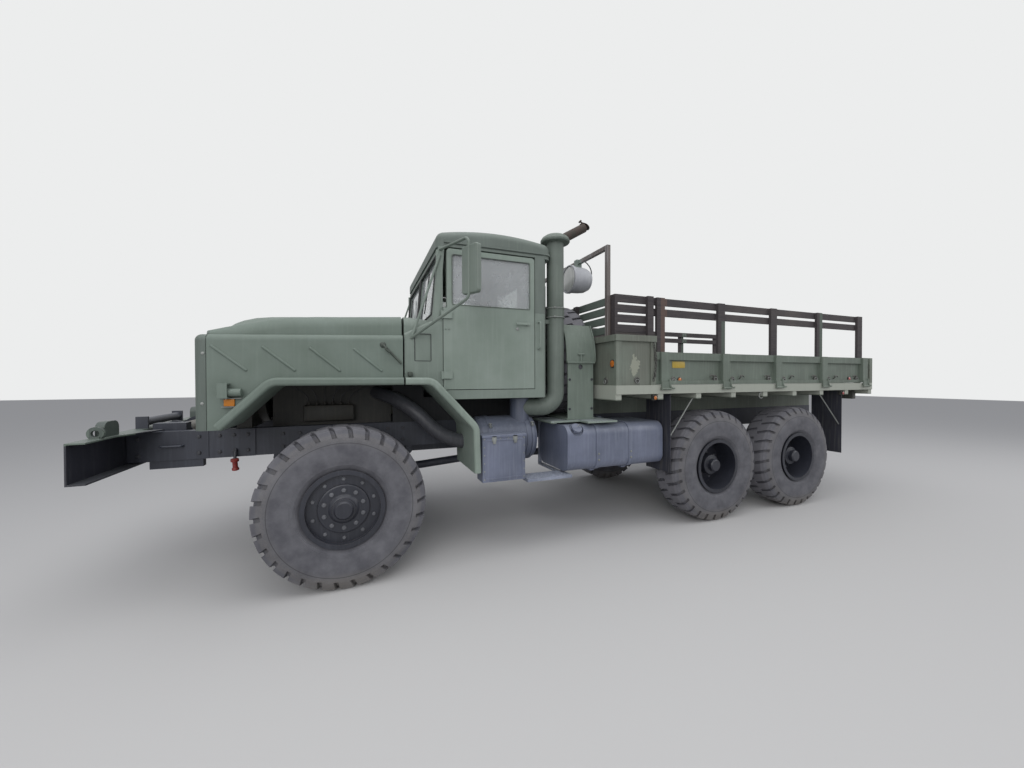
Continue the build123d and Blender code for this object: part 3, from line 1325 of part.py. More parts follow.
def exhaust_stack():
    body = pipe(
        [
            (CAB_FRONT_X + 60, 320, 1310),
            (EXHAUST_X, 320, 1310),
            (EXHAUST_X, EXHAUST_Y, 1310),
            (EXHAUST_X, EXHAUST_Y, 2980),
            (EXHAUST_X - 560, EXHAUST_Y, 3310),
        ],
        EXHAUST_R,
        95,
    )
    shield = turned([(0, -550), (70, -550), (70, 550), (0, 550)], (EXHAUST_X, EXHAUST_Y, 2050), (0, 0, 1))
    stay = block(EXHAUST_X, CAB_REAR_X, EXHAUST_Y - 20, EXHAUST_Y + 20, STACK_STAY_Z + 15, STACK_STAY_Z + 50)
    return body + shield + stay


# Spare wheel, upright across the truck behind the cab
def spare_centre():
    return (SPARE_X, SPARE_Y, RAIL_TOP_Z + CARRIER_T + TYRE_R + 0.3)


def spare_carrier():
    x, y, z = spare_centre()
    half = TYRE_W / 2 - 25
    guard_r = TYRE_R + GUARD_GAP
    guard_y = y + guard_r
    base = block(x - half, x + half, -RAIL_OUTER_Y, guard_y + CARRIER_T, RAIL_TOP_Z, RAIL_TOP_Z + CARRIER_T)
    ring = turned(
        [(guard_r, -half), (guard_r + CARRIER_T, -half), (guard_r + CARRIER_T, half), (guard_r, half)],
        (x, y, z),
        (1, 0, 0),
    )
    guard = ring & block(x - half, x + half, y + 300, guard_y + 40, z - 40, z + 345)
    plate = block(x - half + 12, x + half - 12, guard_y, guard_y + CARRIER_T, RAIL_TOP_Z, z - 20)
    plate -= rod((x, guard_y - 5, z - 96), (x, guard_y + 30, z - 96), CARRIER_HOLE_R)
    ledge = rounded_block(x - half, x + half, guard_y - 4, guard_y + 34, z - 60, z - 42, 4)
    ledge += rod((x, guard_y + 24, z - 45), (x, guard_y + 24, z + 34), 9)
    ledge += rod((x - 38, guard_y + 24, z + 34), (x + 38, guard_y + 24, z + 34), 9)
    rim = turned(
        [(guard_r, -half - 12), (guard_r + 26, -half - 12), (guard_r + 26, -half + 2), (guard_r, -half + 2)],
        (x, y, z),
        (1, 0, 0),
    )
    guard += rim & block(x - half - 12, x - half + 2, y + 300, guard_y + 60, z - 40, z + 345)
    mast_x = x + TYRE_W / 2 + 6
    mast = block(mast_x, mast_x + 36, y - 45, y + 45, RAIL_TOP_Z, z + 60)
    foot = block(x, mast_x + 36, y - 45, y + 45, RAIL_TOP_Z, RAIL_TOP_Z + CARRIER_T)
    plug = rod((x - TYRE_W / 2 + REAR_DISC_INSET + DISC_T + 60.3, y, z), (mast_x + 5, y, z), 90)
    return base + guard + plate + ledge + mast + foot + plug


# Lamp portal: a square tube frame at the bed's front, with a work lamp
def lamp_portal():
    y1 = PORTAL_HALF_W
    t = PORTAL_TUBE
    x0 = BED_FRONT_X + RAIL_PROUD - t
    post = block(x0, x0 + t, y1 - t, y1, FIXED_SIDE_Z, PORTAL_TOP_Z)
    beam = block(x0, x0 + t, -y1, y1, PORTAL_TOP_Z - t, PORTAL_TOP_Z)
    clamp = rounded_block(x0 - 14, x0 + 54, LAMP_Y - 32, LAMP_Y + 32, PORTAL_TOP_Z - 96, PORTAL_TOP_Z + 14, 6)
    knob = rod((x0 + 20, LAMP_Y + 30, PORTAL_TOP_Z - 20), (x0 + 20, LAMP_Y + 66, PORTAL_TOP_Z - 20), 20)
    lamp = turned(
        [
            (0, -150),
            (62, -146),
            (112, -122),
            (138, -70),
            (146, -10),
            (150, 96),
            (158, 98),
            (158, 126),
            (146, 130),
            (144, 118),
            (0, 118),
        ],
        (x0 + 20, LAMP_Y, PORTAL_TOP_Z - 215),
        (1, 0, 0),
    )
    return both_sides(post) + beam + clamp + knob + lamp


# Cargo bed: floor on cross bearers, front wall, fixed side sections and rear corner posts
def cargo_bed():
    body = block(BED_REAR_X, BED_FRONT_X, -BED_HALF_W, BED_HALF_W, BED_FLOOR_Z - BED_FLOOR_T, BED_FLOOR_Z)
    sill = block(BED_REAR_X, BED_FRONT_X, BED_HALF_W - BED_SILL_W, BED_HALF_W, BED_SILL_Z, BED_FLOOR_Z)
    runner = block(BED_REAR_X + 40, BED_FRONT_X - 10, 340, RAIL_OUTER_Y, RAIL_TOP_Z, BED_FLOOR_Z - BED_FLOOR_T)
    body += both_sides(sill + runner)
    body += bed_bearers()
    wall_x = BED_FRONT_X - BED_WALL_T
    skin_x = BED_FRONT_X - SHEET_INSET
    rail_z = FIXED_SIDE_Z - TOP_RAIL_H
    skin_y = BED_HALF_W - SHEET_INSET
    body += block(wall_x, skin_x, -skin_y, skin_y, BED_SILL_Z, rail_z + 5)
    body += block(wall_x, BED_FRONT_X + RAIL_PROUD, -BED_HALF_W, BED_HALF_W, rail_z, FIXED_SIDE_Z)
    body += block(skin_x - 5, BED_FRONT_X, -BED_HALF_W, BED_HALF_W, BED_SILL_Z, BED_FLOOR_Z)
    for y in FRONT_WALL_RIBS:
        body += both_sides(block(skin_x - 5, BED_FRONT_X, y - 30, y + 30, BED_FLOOR_Z, rail_z))
    corner_x = BED_FRONT_X - FIXED_SIDE_L
    inner_y = BED_HALF_W - BED_WALL_T
    fixed = block(corner_x, BED_FRONT_X - 5, inner_y, skin_y, BED_FLOOR_Z, rail_z + 5)
    fixed += block(corner_x, BED_FRONT_X + RAIL_PROUD, inner_y, BED_HALF_W + RAIL_PROUD, rail_z, FIXED_SIDE_Z)
    fixed += block(BED_FRONT_X - CORNER_POST_W, BED_FRONT_X, inner_y, BED_HALF_W, BED_FLOOR_Z, rail_z)
    fixed += block(corner_x, corner_x + CORNER_POST_W, inner_y, BED_HALF_W, BED_FLOOR_Z, rail_z)
    post = block(BED_REAR_X, BED_REAR_X + 60, BED_HALF_W - 70, BED_HALF_W, BED_FLOOR_Z, SIDE_TOP_Z)
    return body + both_sides(fixed + post) + side_hinge_lugs() + tail_hinge_lugs()


def bearer_x(i):
    """Rear face of the cross bearer, counted from the tail."""
    pitch = (BED_FRONT_X - BED_REAR_X - BEARER_W) / (BEARER_COUNT - 1)
    return BED_REAR_X + i * pitch


def bed_bearers():
    """Cross bearers between the floor and the runners."""
    half = BED_HALF_W - 10
    bearers = []
    for i in range(BEARER_COUNT):
        x = bearer_x(i)
        bearers.append(block(x, x + BEARER_W, -half, half, BED_SILL_Z - BEARER_DROP, BED_FLOOR_Z - BED_FLOOR_T))
    return Part() + bearers


def side_hinge_lugs():
    y, z = hinge_axis()
    lugs = []
    for x in stake_xs():
        for x0 in (x - HINGE_LUG_L, x + STAKE_W + 1):
            lug = block(x0, x0 + HINGE_LUG_L - 1, BED_HALF_W, y + HINGE_R, z - HINGE_R, z + HINGE_R)
            lugs.append(lug - rod((x0, y, z), (x0 + HINGE_LUG_L, y, z), HINGE_PIN_R + PIN_GAP))
    return both_sides(Part() + lugs)


def tail_hinge_lugs():
    x, z = BED_REAR_X - TAIL_HINGE_OUT, BED_FLOOR_Z - HINGE_DROP
    lugs = []
    for y in TAIL_HINGE_YS:
        for y0 in (y - TAIL_HINGE_HALF - HINGE_LUG_L, y + TAIL_HINGE_HALF + 1):
            lug = block(x - HINGE_R, BED_REAR_X, y0, y0 + HINGE_LUG_L - 1, z - HINGE_R, z + HINGE_R)
            lugs.append(lug - rod((x, y0, z), (x, y0 + HINGE_LUG_L, z), HINGE_PIN_R + PIN_GAP))
    return Part() + lugs


# Front rack: boards on stakes that stand against the front wall and the fixed sides
def front_rack():
    x1 = BED_FRONT_X - BED_WALL_T
    x0 = BED_FRONT_X - FIXED_SIDE_L
    y1 = BED_HALF_W - BED_WALL_T
    foot_z = FIXED_SIDE_Z - RACK_FOOT
    inner_x = x1 - RACK_POST_T
    inner_y = y1 - RACK_POST_T
    body = both_sides(block(x0, x0 + RACK_POST_W, inner_y, y1, foot_z, RACK_TOP_Z))
    for y in (RACK_POST_Y, inner_y - RACK_POST_W):
        body += both_sides(block(inner_x, x1, y, y + RACK_POST_W, foot_z, RACK_TOP_Z))
    for i in range(FRONT_SLATS):
        z = RACK_TOP_Z - SLAT_H - i * FRONT_SLAT_PITCH
        body += block(inner_x - SLAT_T, inner_x, -inner_y, inner_y, z, z + SLAT_H)
        body += both_sides(block(x0, inner_x, inner_y - SLAT_T, inner_y, z, z + SLAT_H))
    return body


# Drop sides: hinged panels along the bed, and the racks that stand on them
def side_ends():
    return BED_REAR_X + 60 + SIDE_GAP, BED_FRONT_X - FIXED_SIDE_L - SIDE_GAP


def hinge_axis():
    """The drop side's hinge line: y and z."""
    return BED_HALF_W + HINGE_OUT, BED_FLOOR_Z - HINGE_DROP


def stake_xs():
    x0, x1 = side_ends()
    first = x0 + 60
    pitch = (x1 - 55 - STAKE_W - first) / (STAKE_COUNT - 1)
    return [first + i * pitch for i in range(STAKE_COUNT)]


def drop_side(side):
    x0, x1 = side_ends()
    y1 = BED_HALF_W - 20
    axis_y, axis_z = hinge_axis()
    foot_z = BED_FLOOR_Z + SIDE_GAP
    inner_y = y1 - BED_WALL_T
    panel = block(x0, x1, inner_y, inner_y + SHEET_T, foot_z, SIDE_TOP_Z)
    panel += block(x0, x1, inner_y, y1 + 8, SIDE_TOP_Z - SIDE_RAIL_H, SIDE_TOP_Z)
    panel += block(x0, x1, inner_y, y1, foot_z, foot_z + 40)
    panel += block(x0, x0 + 45, inner_y, y1, foot_z, SIDE_TOP_Z)
    panel += block(x1 - 45, x1, inner_y, y1, foot_z, SIDE_TOP_Z)
    for x in stake_xs():
        panel += block(x, x + STAKE_W, inner_y, axis_y - 8, foot_z, SIDE_TOP_Z)
        panel += block(x, x + STAKE_W, axis_y - 10, axis_y, axis_z, BED_FLOOR_Z + SIDE_GAP + 30)
        panel += rod((x, axis_y, axis_z), (x + STAKE_W, axis_y, axis_z), HINGE_R)
        pin_x = x - HINGE_LUG_L
        pin_end = x + STAKE_W + HINGE_LUG_L
        panel += rod((pin_x, axis_y, axis_z), (pin_end, axis_y, axis_z), HINGE_PIN_R)
    return panel if side > 0 else mirrored(panel)


def side_rack(side):
    x0, x1 = side_ends()
    y1 = BED_HALF_W - 20 - BED_WALL_T
    rack = block(x0, x1, y1 - STAKE_T - SLAT_T, y1 - STAKE_T, RACK_TOP_Z - SLAT_H, RACK_TOP_Z)
    low = RACK_TOP_Z - SLAT_H - 112
    rack += block(x0, x1, y1 - STAKE_T - SLAT_T, y1 - STAKE_T, low, low + SLAT_H)
    for x in stake_xs():
        rack += block(x, x + STAKE_W, y1 - STAKE_T, y1, BED_FLOOR_Z + 60, RACK_TOP_Z)
    return rack if side > 0 else mirrored(rack)


# Tailgate, hinged on the bed's rear edge
def tailgate():
    y1 = BED_HALF_W - 70 - SIDE_GAP
    x0 = BED_REAR_X + 10
    axis_x = BED_REAR_X - TAIL_HINGE_OUT
    axis_z = BED_FLOOR_Z - HINGE_DROP
    foot_z = BED_FLOOR_Z + SIDE_GAP
    gate = block(x0 + BED_WALL_T - SHEET_T, x0 + BED_WALL_T, -y1, y1, foot_z, SIDE_TOP_Z)
    gate += block(x0, x0 + BED_WALL_T, -y1, y1, SIDE_TOP_Z - SIDE_RAIL_H, SIDE_TOP_Z)
    gate += block(x0, x0 + BED_WALL_T, -y1, y1, foot_z, foot_z + 40)
    gate += both_sides(block(x0, x0 + BED_WALL_T, y1 - 45, y1, foot_z, SIDE_TOP_Z))
    for y in TAIL_HINGE_YS:
        half = TAIL_HINGE_HALF
        gate += block(x0 - 8, x0 + BED_WALL_T, y - half, y + half, foot_z, SIDE_TOP_Z - 60)
        gate += block(axis_x - 5, x0, y - half, y + half, foot_z, foot_z + 10)
        gate += block(axis_x - 5, axis_x + 5, y - half, y + half, axis_z, foot_z + 10)
        gate += rod((axis_x, y - half, axis_z), (axis_x, y + half, axis_z), HINGE_R)
        pin = half + HINGE_LUG_L
        gate += rod((axis_x, y - pin, axis_z), (axis_x, y + pin, axis_z), HINGE_PIN_R)
    return gate


# Mud flaps ahead of the bogie and behind it
def mud_flaps():
    y0 = WHEEL_Y - TYRE_W / 2
    y1 = BED_HALF_W - BED_SILL_W - 2
    front_x = MID_AXLE_X + TYRE_R + 85
    rear_x = REAR_AXLE_X - TYRE_R - REAR_FLAP_GAP
    flap = block(front_x - FLAP_T, front_x, y0, y1, FLAP_BOTTOM_Z, BED_FLOOR_Z - BED_FLOOR_T)
    flap += block(rear_x, rear_x + FLAP_T, y0, y1, FLAP_BOTTOM_Z, BED_FLOOR_Z - BED_FLOOR_T)
    return both_sides(flap) - bed_bearers()


def wheel_centres():
    """Wheel name, axle x, side."""
    return (
        ("front_left", FRONT_AXLE_X, 1),
        ("front_right", FRONT_AXLE_X, -1),
        ("mid_left", MID_AXLE_X, 1),
        ("mid_right", MID_AXLE_X, -1),
        ("rear_left", REAR_AXLE_X, 1),
        ("rear_right", REAR_AXLE_X, -1),
    )


def pieces():
    blank = tyre_blank()
    parts = {
        "frame": frame(),
        "front_bumper": front_bumper(),
        "winch": winch(),
        "engine": engine(),
        "radiator": radiator(),
        "driveline": driveline(),
        "axles": axles(),
        "leaf_springs": leaf_springs(),
        "knuckle_left": knuckle(1),
        "knuckle_right": knuckle(-1),
        "tie_rod": tie_rod(),
        "hood": hood(),
        "grille": grille(),
        "head_lamps": head_lamps(),
        "rear_fenders": rear_fenders(),
        "cab_tub": cab_tub(),
        "cab_roof": cab_roof(),
        "windscreen_frame": windscreen_frame(),
        "cab_glass": cab_glass(),
        "door_left": door(1),
        "door_right": door(-1),
        "door_glass_left": door_glass(1),
        "door_glass_right": door_glass(-1),
        "seats": seats(),
        "seat_frames": seat_frames(),
        "dashboard": dashboard(),
        "steering_wheel": steering_wheel(),
        "mirrors": mirrors(),
        "battery_box": battery_box(),
        "air_tank": air_tank(),
        "side_steps": side_steps(),
        "fuel_tank": fuel_tank(),
        "intake_stack": intake_stack(),
        "exhaust_stack": exhaust_stack(),
        "spare_carrier": spare_carrier(),
        "spare_tyre": tyre(blank, spare_centre(), (-1, 0, 0)),
        "spare_rim": rear_rim(spare_centre(), (-1, 0, 0)),
        "lamp_portal": lamp_portal(),
        "cargo_bed": cargo_bed(),
        "front_rack": front_rack(),
        "drop_side_left": drop_side(1),
        "drop_side_right": drop_side(-1),
        "side_rack_left": side_rack(1),
        "side_rack_right": side_rack(-1),
        "tailgate": tailgate(),
        "mud_flaps": mud_flaps(),
    }
    for name, x, side in wheel_centres():
        centre = (x, side * WHEEL_Y, TYRE_R)
        axis = (0, side, 0)
        rim = front_rim if x == FRONT_AXLE_X else rear_rim
        parts["tyre_" + name] = tyre(blank, centre, axis)
        parts["rim_" + name] = rim(centre, axis)
    return parts


os.makedirs("parts", exist_ok=True)
for node, shape in pieces().items():
    export_step(shape, f"parts/{node}.step")
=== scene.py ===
import math

import bmesh
import bpy
from mathutils import Matrix, Vector


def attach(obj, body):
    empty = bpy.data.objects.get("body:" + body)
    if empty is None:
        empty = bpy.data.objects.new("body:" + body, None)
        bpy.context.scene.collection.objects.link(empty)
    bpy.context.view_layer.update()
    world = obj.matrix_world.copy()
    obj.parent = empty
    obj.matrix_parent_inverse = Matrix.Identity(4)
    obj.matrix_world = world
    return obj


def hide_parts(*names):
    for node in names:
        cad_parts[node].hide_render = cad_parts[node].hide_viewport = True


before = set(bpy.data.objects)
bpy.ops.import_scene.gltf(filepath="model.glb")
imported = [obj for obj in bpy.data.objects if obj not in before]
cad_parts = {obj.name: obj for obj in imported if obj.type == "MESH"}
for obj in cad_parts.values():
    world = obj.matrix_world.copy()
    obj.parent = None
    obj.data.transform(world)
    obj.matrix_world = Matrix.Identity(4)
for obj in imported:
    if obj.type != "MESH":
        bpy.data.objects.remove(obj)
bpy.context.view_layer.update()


# The camera stands at eye level beside the truck's nose, with a wide lens. Its place and turn are
# those from which the rims, the bed's edges and the horizon fall where the photograph has them.
EYE = Vector((2.4346, 4.3202, 1.6026))
YAW, PITCH, ROLL = -1.945530, -0.012122, -0.002814
LENS_MM, SENSOR_MM = 13.459, 36.0
SIGHT_M = 200


def camera_turn(yaw, pitch, roll):
    ahead = Vector((math.cos(yaw) * math.cos(pitch), math.sin(yaw) * math.cos(pitch), math.sin(pitch)))
    level = ahead.cross(Vector((0, 0, 1))).normalized()
    upright = level.cross(ahead)
    right = level * math.cos(roll) + upright * math.sin(roll)
    up = upright * math.cos(roll) - level * math.sin(roll)
    return Matrix((right, up, -ahead)).transposed()


camera = bpy.data.objects.new("camera", bpy.data.cameras.new("camera"))
camera.data.lens = LENS_MM
camera.data.sensor_width = SENSOR_MM
camera.data.clip_end = SIGHT_M
camera.matrix_world = Matrix.Translation(EYE) @ camera_turn(YAW, PITCH, ROLL).to_4x4()
bpy.context.scene.collection.objects.link(camera)
bpy.context.scene.camera = camera
bpy.context.scene.view_settings.view_transform = "Standard"


# The studio: one pale floor that meets a pale surround, a large overhead softbox and weaker ones
# beside the camera and behind. The surround lights the truck evenly, as a bright dusk sky does.
FLOOR_HALF = 40
FLOOR_HEX = "c4c3c2"
SURROUND_HEX = "eceded"
SURROUND_LIGHT_HEX = "f1f4fb"
SURROUND_STRENGTH = 0.55
SMOOTH_BELOW_DEG = 35
# Softboxes: name, place, aim, width in metres, power in watts
SOFTBOXES = (
    ("softbox_top", (1.5, 2.0, 9.0), (0, 0, 0.8), 9.0, 370),
    ("softbox_camera", (6.0, 9.0, 5.0), (0, 0, 1.2), 6.0, 350),
    ("softbox_rear", (-9.0, 6.0, 6.0), (-2, 0, 1.2), 6.0, 200),
)


def tone(code):
    """An sRGB hex colour as linear red, green, blue and alpha."""
    parts = [int(code[i:i + 2], 16) / 255 for i in (0, 2, 4)]
    return [c / 12.92 if c <= 0.04045 else ((c + 0.055) / 1.055) ** 2.4 for c in parts] + [1.0]


def put(tree, kind, sockets=None, take=0, **settings):
    """Adds a shader node: its settings, and for each socket a value or the output that feeds it.
    Gives back one of its own outputs."""
    made = tree.nodes.new("ShaderNode" + kind)
    for key, value in settings.items():
        setattr(made, key, value)
    for key, value in (sockets or {}).items():
        if isinstance(value, bpy.types.NodeSocket):
            tree.links.new(value, made.inputs[key])
        else:
            made.inputs[key].default_value = value
    return made.outputs[take] if made.outputs else None


def maths(tree, operation, *values):
    return put(tree, "Math", dict(enumerate(values)), operation=operation)


def span(tree, value, low, high, least=0.0, most=1.0, **settings):
    """One range of a value mapped to another."""
    sockets = {"Value": value, "From Min": low, "From Max": high, "To Min": least, "To Max": most}
    return put(tree, "MapRange", sockets, **settings)


def new_material(name):
    """A material, its empty tree, and the place of each point in the row frame."""
    made = bpy.data.materials.new(name)
    made.use_nodes = True
    tree = made.node_tree
    tree.nodes.clear()
    return made, tree, put(tree, "TexCoord", take="Object")


def mesh_piece(name, bm, material, smooth=True):
    """A finished mesh object from a bmesh, with one material."""
    data = bpy.data.meshes.new(name)
    bmesh.ops.recalc_face_normals(bm, faces=bm.faces)
    bm.to_mesh(data)
    bm.free()
    data.materials.append(material)
    if smooth:
        data.shade_smooth()
        data.set_sharp_from_angle(angle=math.radians(SMOOTH_BELOW_DEG))
    made = bpy.data.objects.new(name, data)
    bpy.context.scene.collection.objects.link(made)
    return made


floor_paint, tree, place = new_material("studio_floor")
dust = span(tree, put(tree, "TexNoise", {"Scale": 0.6, "Detail": 4.0}), 0.0, 1.0, 0.98, 1.02)
colour = put(tree, "VectorMath", {0: tone(FLOOR_HEX)[:3], "Scale": dust}, operation="SCALE")
put(tree, "OutputMaterial", {"Surface": put(tree, "BsdfDiffuse", {"Color": colour})})
bm = bmesh.new()
bmesh.ops.create_grid(bm, x_segments=2, y_segments=2, size=FLOOR_HALF)
mesh_piece("studio_floor", bm, floor_paint, smooth=False)

world = bpy.data.worlds.new("studio")
bpy.context.scene.world = world
world.use_nodes = True
tree = world.node_tree
tree.nodes.clear()
ray = put(tree, "LightPath").node.outputs
shown = maths(tree, "MAXIMUM", ray["Is Camera Ray"], ray["Is Glossy Ray"])
shown = maths(tree, "MAXIMUM", shown, ray["Is Transmission Ray"])
light = put(tree, "Background", {"Color": tone(SURROUND_LIGHT_HEX), "Strength": SURROUND_STRENGTH})
backdrop = put(tree, "Background", {"Color": tone(SURROUND_HEX), "Strength": 1.0})
put(tree, "OutputWorld", {"Surface": put(tree, "MixShader", {0: shown, 1: light, 2: backdrop})})
for name, place, aim, width, power in SOFTBOXES:
    lamp = bpy.data.lights.new(name, "AREA")
    lamp.size = width
    lamp.energy = power
    holder = bpy.data.objects.new(name, lamp)
    holder.location = place
    holder.rotation_euler = (Vector(aim) - Vector(place)).to_track_quat("-Z", "Y").to_euler()
    bpy.context.scene.collection.objects.link(holder)


# Frame and bumper: pressed channel rails, bolted cross members and a channel bumper, all in a
# blue-black chassis enamel over steel. Grit has dulled it, and the bumper's top flange and the
# shackle brackets on it have been overpainted green.
CLOUD_MM, STREAK_MM, SPRAY_GRAIN_MM, EDGE_WEAR_MM = 420, 22, 3, 3.5
SIDES = ((1, "left"), (-1, "right"))
AHEAD, LEFT, UP, BACK = (1, 0, 0), (0, 1, 0), (0, 0, 1), (-1, 0, 0)
# Body and slot of what is fixed to the frame, the engine, the tanks, the cab or bed, of rubber
# parts there, and of bright parts on the hood
ON_FRAME, ON_ENGINE = ("chassis", "chassis_black"), ("chassis", "cast_block")
ON_TANK, ON_CAB = ("chassis", "tank_grey"), ("chassis", "body_green")
RUBBER, ON_HOOD = ("chassis", "flap_rubber"), ("hood", "tank_grey")


def mix(tree, share, under, over):
    """One colour laid over another by a share. A colour is a hex code or an output."""
    under, over = [tone(c) if isinstance(c, str) else c for c in (under, over)]
    return put(tree, "MixRGB", {0: share, 1: under, 2: over})


def noise(tree, place, scale, detail, roughness=0.5, distortion=0.0):
    sockets = {"Vector": place, "Scale": scale, "Detail": detail}
    return put(tree, "TexNoise", {**sockets, "Roughness": roughness, "Distortion": distortion})


def vectors(tree, operation, *values, take=0):
    return put(tree, "VectorMath", dict(enumerate(values)), take, operation=operation)


def split(tree, vector):
    """The three parts of a vector."""
    return put(tree, "SeparateXYZ", {0: vector}).node.outputs


def relief(tree, height, strength, distance, **more):
    return put(tree, "Bump", {"Height": height, "Strength": strength, "Distance": distance, **more})


def surface(tree, colour, roughness, more=None):
    """Closes a tree with one layered shader."""
    shader = put(tree, "BsdfPrincipled", {"Base Color": colour, "Roughness": roughness, **(more or {})})
    put(tree, "OutputMaterial", {"Surface": shader})


def box_mask(tree, place, low, high):
    """One inside a box given by two corners, nothing outside it."""
    middle = [(a + b) / 2 for a, b in zip(low, high)]
    half = [(b - a) / 2 for a, b in zip(low, high)]
    sized = vectors(tree, "DIVIDE", vectors(tree, "SUBTRACT", place, middle), half)
    x, y, z = split(tree, vectors(tree, "ABSOLUTE", sized))
    most = maths(tree, "MAXIMUM", maths(tree, "MAXIMUM", x, y), z)
    return maths(tree, "LESS_THAN", most, 1.0)


def enamel(
    name, codes, rough=0.6, streaks=0.16, dust=0.35, chips=0.3, edge_mm=EDGE_WEAR_MM, panels=(), bare=None
):
    """Old sprayed enamel: cloudy fading, rain streaks, dust on what faces up, chips along edges.

    Codes are the paint's colour, its faded and deep tones, and what shows where it is worn off.
    Panels are other paints inside boxes: a hex colour, a low corner and a high corner each.
    Bare is primer in a ragged patch: its hex colour, its middle and its three half sizes.
    """
    paint, faded, deep, wear = codes.split()
    made, tree, place = new_material(name)
    cloud = noise(tree, place, 1000 / CLOUD_MM, 5.0, 0.6)
    stretched = put(tree, "Mapping", {"Vector": place, "Scale": (1.0, 1.0, 0.05)})
    rain = noise(tree, stretched, 1000 / STREAK_MM, 4.0)
    grit = noise(tree, place, 250 / SPRAY_GRAIN_MM, 6.0, 0.7)
    colour = mix(tree, span(tree, cloud, 0.35, 0.68), deep, paint)
    for other, low, high in panels:
        colour = mix(tree, box_mask(tree, place, low, high), colour, other)
    colour = mix(tree, span(tree, rain, 0.5, 0.72, most=streaks), colour, faded)
    skyward = split(tree, put(tree, "NewGeometry", take="Normal"))[2]
    colour = mix(tree, span(tree, skyward, 0.1, 0.95, most=dust), colour, faded)
    if bare:
        primer, middle, half = bare
        sized = vectors(tree, "DIVIDE", vectors(tree, "SUBTRACT", place, middle), half)
        reach = vectors(tree, "LENGTH", sized, take="Value")
        line = maths(tree, "MULTIPLY_ADD", noise(tree, place, 22.0, 6.0, 0.65), 2.2, reach)
        colour = mix(tree, span(tree, line, 1.92, 1.84, most=0.85), colour, primer)
    rounded = put(tree, "Bevel", {"Radius": edge_mm / 1000}, samples=4)
    flat = put(tree, "NewGeometry", take="True Normal")
    edge = span(tree, vectors(tree, "DOT_PRODUCT", rounded, flat, take="Value"), 0.995, 0.9)
    ragged = span(tree, grit, 0.5, 0.62, most=chips)
    colour = mix(tree, maths(tree, "MULTIPLY", edge, ragged), colour, wear)
    dull = span(tree, grit, 0.0, 1.0, rough - 0.1, rough + 0.1)
    surface(tree, colour, dull, {"Normal": relief(tree, grit, 0.1, 0.001, Normal=rounded)})
    return made


def coat(material, *names):
    """Gives CAD nodes their finish."""
    for name in names:
        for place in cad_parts[name].material_slots:
            place.material = material


def fit(piece, body, slot):
    """Fixes a piece to a body; the slot it is given is not used."""
    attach(piece, body)
    return piece


def mm(text):
    """Points written in millimetres with commas between them, as tuples in metres."""
    return [tuple(float(v) / 1000 for v in point.split()) for point in text.split(",")]


def shape(name, bm, material, body, slot, smooth=True):
    return fit(mesh_piece(name, bm, material, smooth), body, slot)


def outward(at, out):
    """A placement at a point, with its own Z pointing outward."""
    return Matrix.Translation(Vector(at)) @ Vector(out).to_track_quat("Z", "Y").to_matrix().to_4x4()


def spin(turn, axis):
    return Matrix.Rotation(turn, 4, axis)


def circle(radius, count, start=0.0):
    """Points spaced evenly round a circle, as pairs."""
    turns = [start + 2 * math.pi * k / count for k in range(count)]
    return [(radius * math.cos(t), radius * math.sin(t)) for t in turns]


def lathe(bm, profile, place, sides=18):
    """Adds a turned form: (radius, height) points round the placement's own Z."""
    rings = []
    for radius, height in profile:
        ring = circle(radius, 1 if radius < 1e-6 else sides)
        rings.append([bm.verts.new(place @ Vector((x, y, height))) for x, y in ring])
    for low, high in zip(rings, rings[1:]):
        for k in range(sides):
            n = k + 1
            loop = (low[k % len(low)], low[n % len(low)], high[n % len(high)], high[k % len(high)])
            bm.faces.new(list(dict.fromkeys(loop)))


def turned(name, profile, place, sides, material, body, slot):
    """One turned form as a piece."""
    bm = bmesh.new()
    lathe(bm, profile, place, sides)
    return shape(name, bm, material, body, slot)


def bolts(name, places, out, across, material, body, slot):
    """Hexagon heads with chamfered crowns on round washers, as one piece."""
    bm = bmesh.new()
    corner = across / 2 / math.cos(math.pi / 6)
    base, top = 0.12 * across, 0.55 * across
    for at in places:
        place = outward(at, out)
        lathe(bm, [(0, 0), (0.66 * across, 0), (0.66 * across, base), (0, base)], place, 20)
        lathe(bm, [(0, base), (corner, base), (corner, 0.86 * top), (0.46 * across, top), (0, top)], place, 6)
    return shape(name, bm, material, body, slot)


def screws(name, places, out, radius, material, body, slot):
    """Round-head screws or rivets, as one piece."""
    bm = bmesh.new()
    dome = [(0, 0), (1, 0), (1, 0.15), (0.8, 0.42), (0.4, 0.58), (0, 0.62)]
    for at in places:
        lathe(bm, [(radius * r, radius * h) for r, h in dome], outward(at, out), 16)
    return shape(name, bm, material, body, slot)


def tube(name, points, radius, material, body, slot, closed=False, order=3):
    """A bent bar, hose or moulded strip along a smooth line."""
    line = bpy.data.curves.new(name, "CURVE")
    line.dimensions = "3D"
    line.bevel_depth = radius
    line.bevel_resolution = 3
    line.use_fill_caps = not closed
    spline = line.splines.new("NURBS")
    spline.points.add(len(points) - 1)
    for point, at in zip(spline.points, points):
        point.co = (*at, 1)
    spline.order_u = order
    spline.use_endpoint_u = not closed
    spline.use_cyclic_u = closed
    spline.resolution_u = 5
    line.materials.append(material)
    made = bpy.data.objects.new(name, line)
    bpy.context.scene.collection.objects.link(made)
    return fit(made, body, slot)


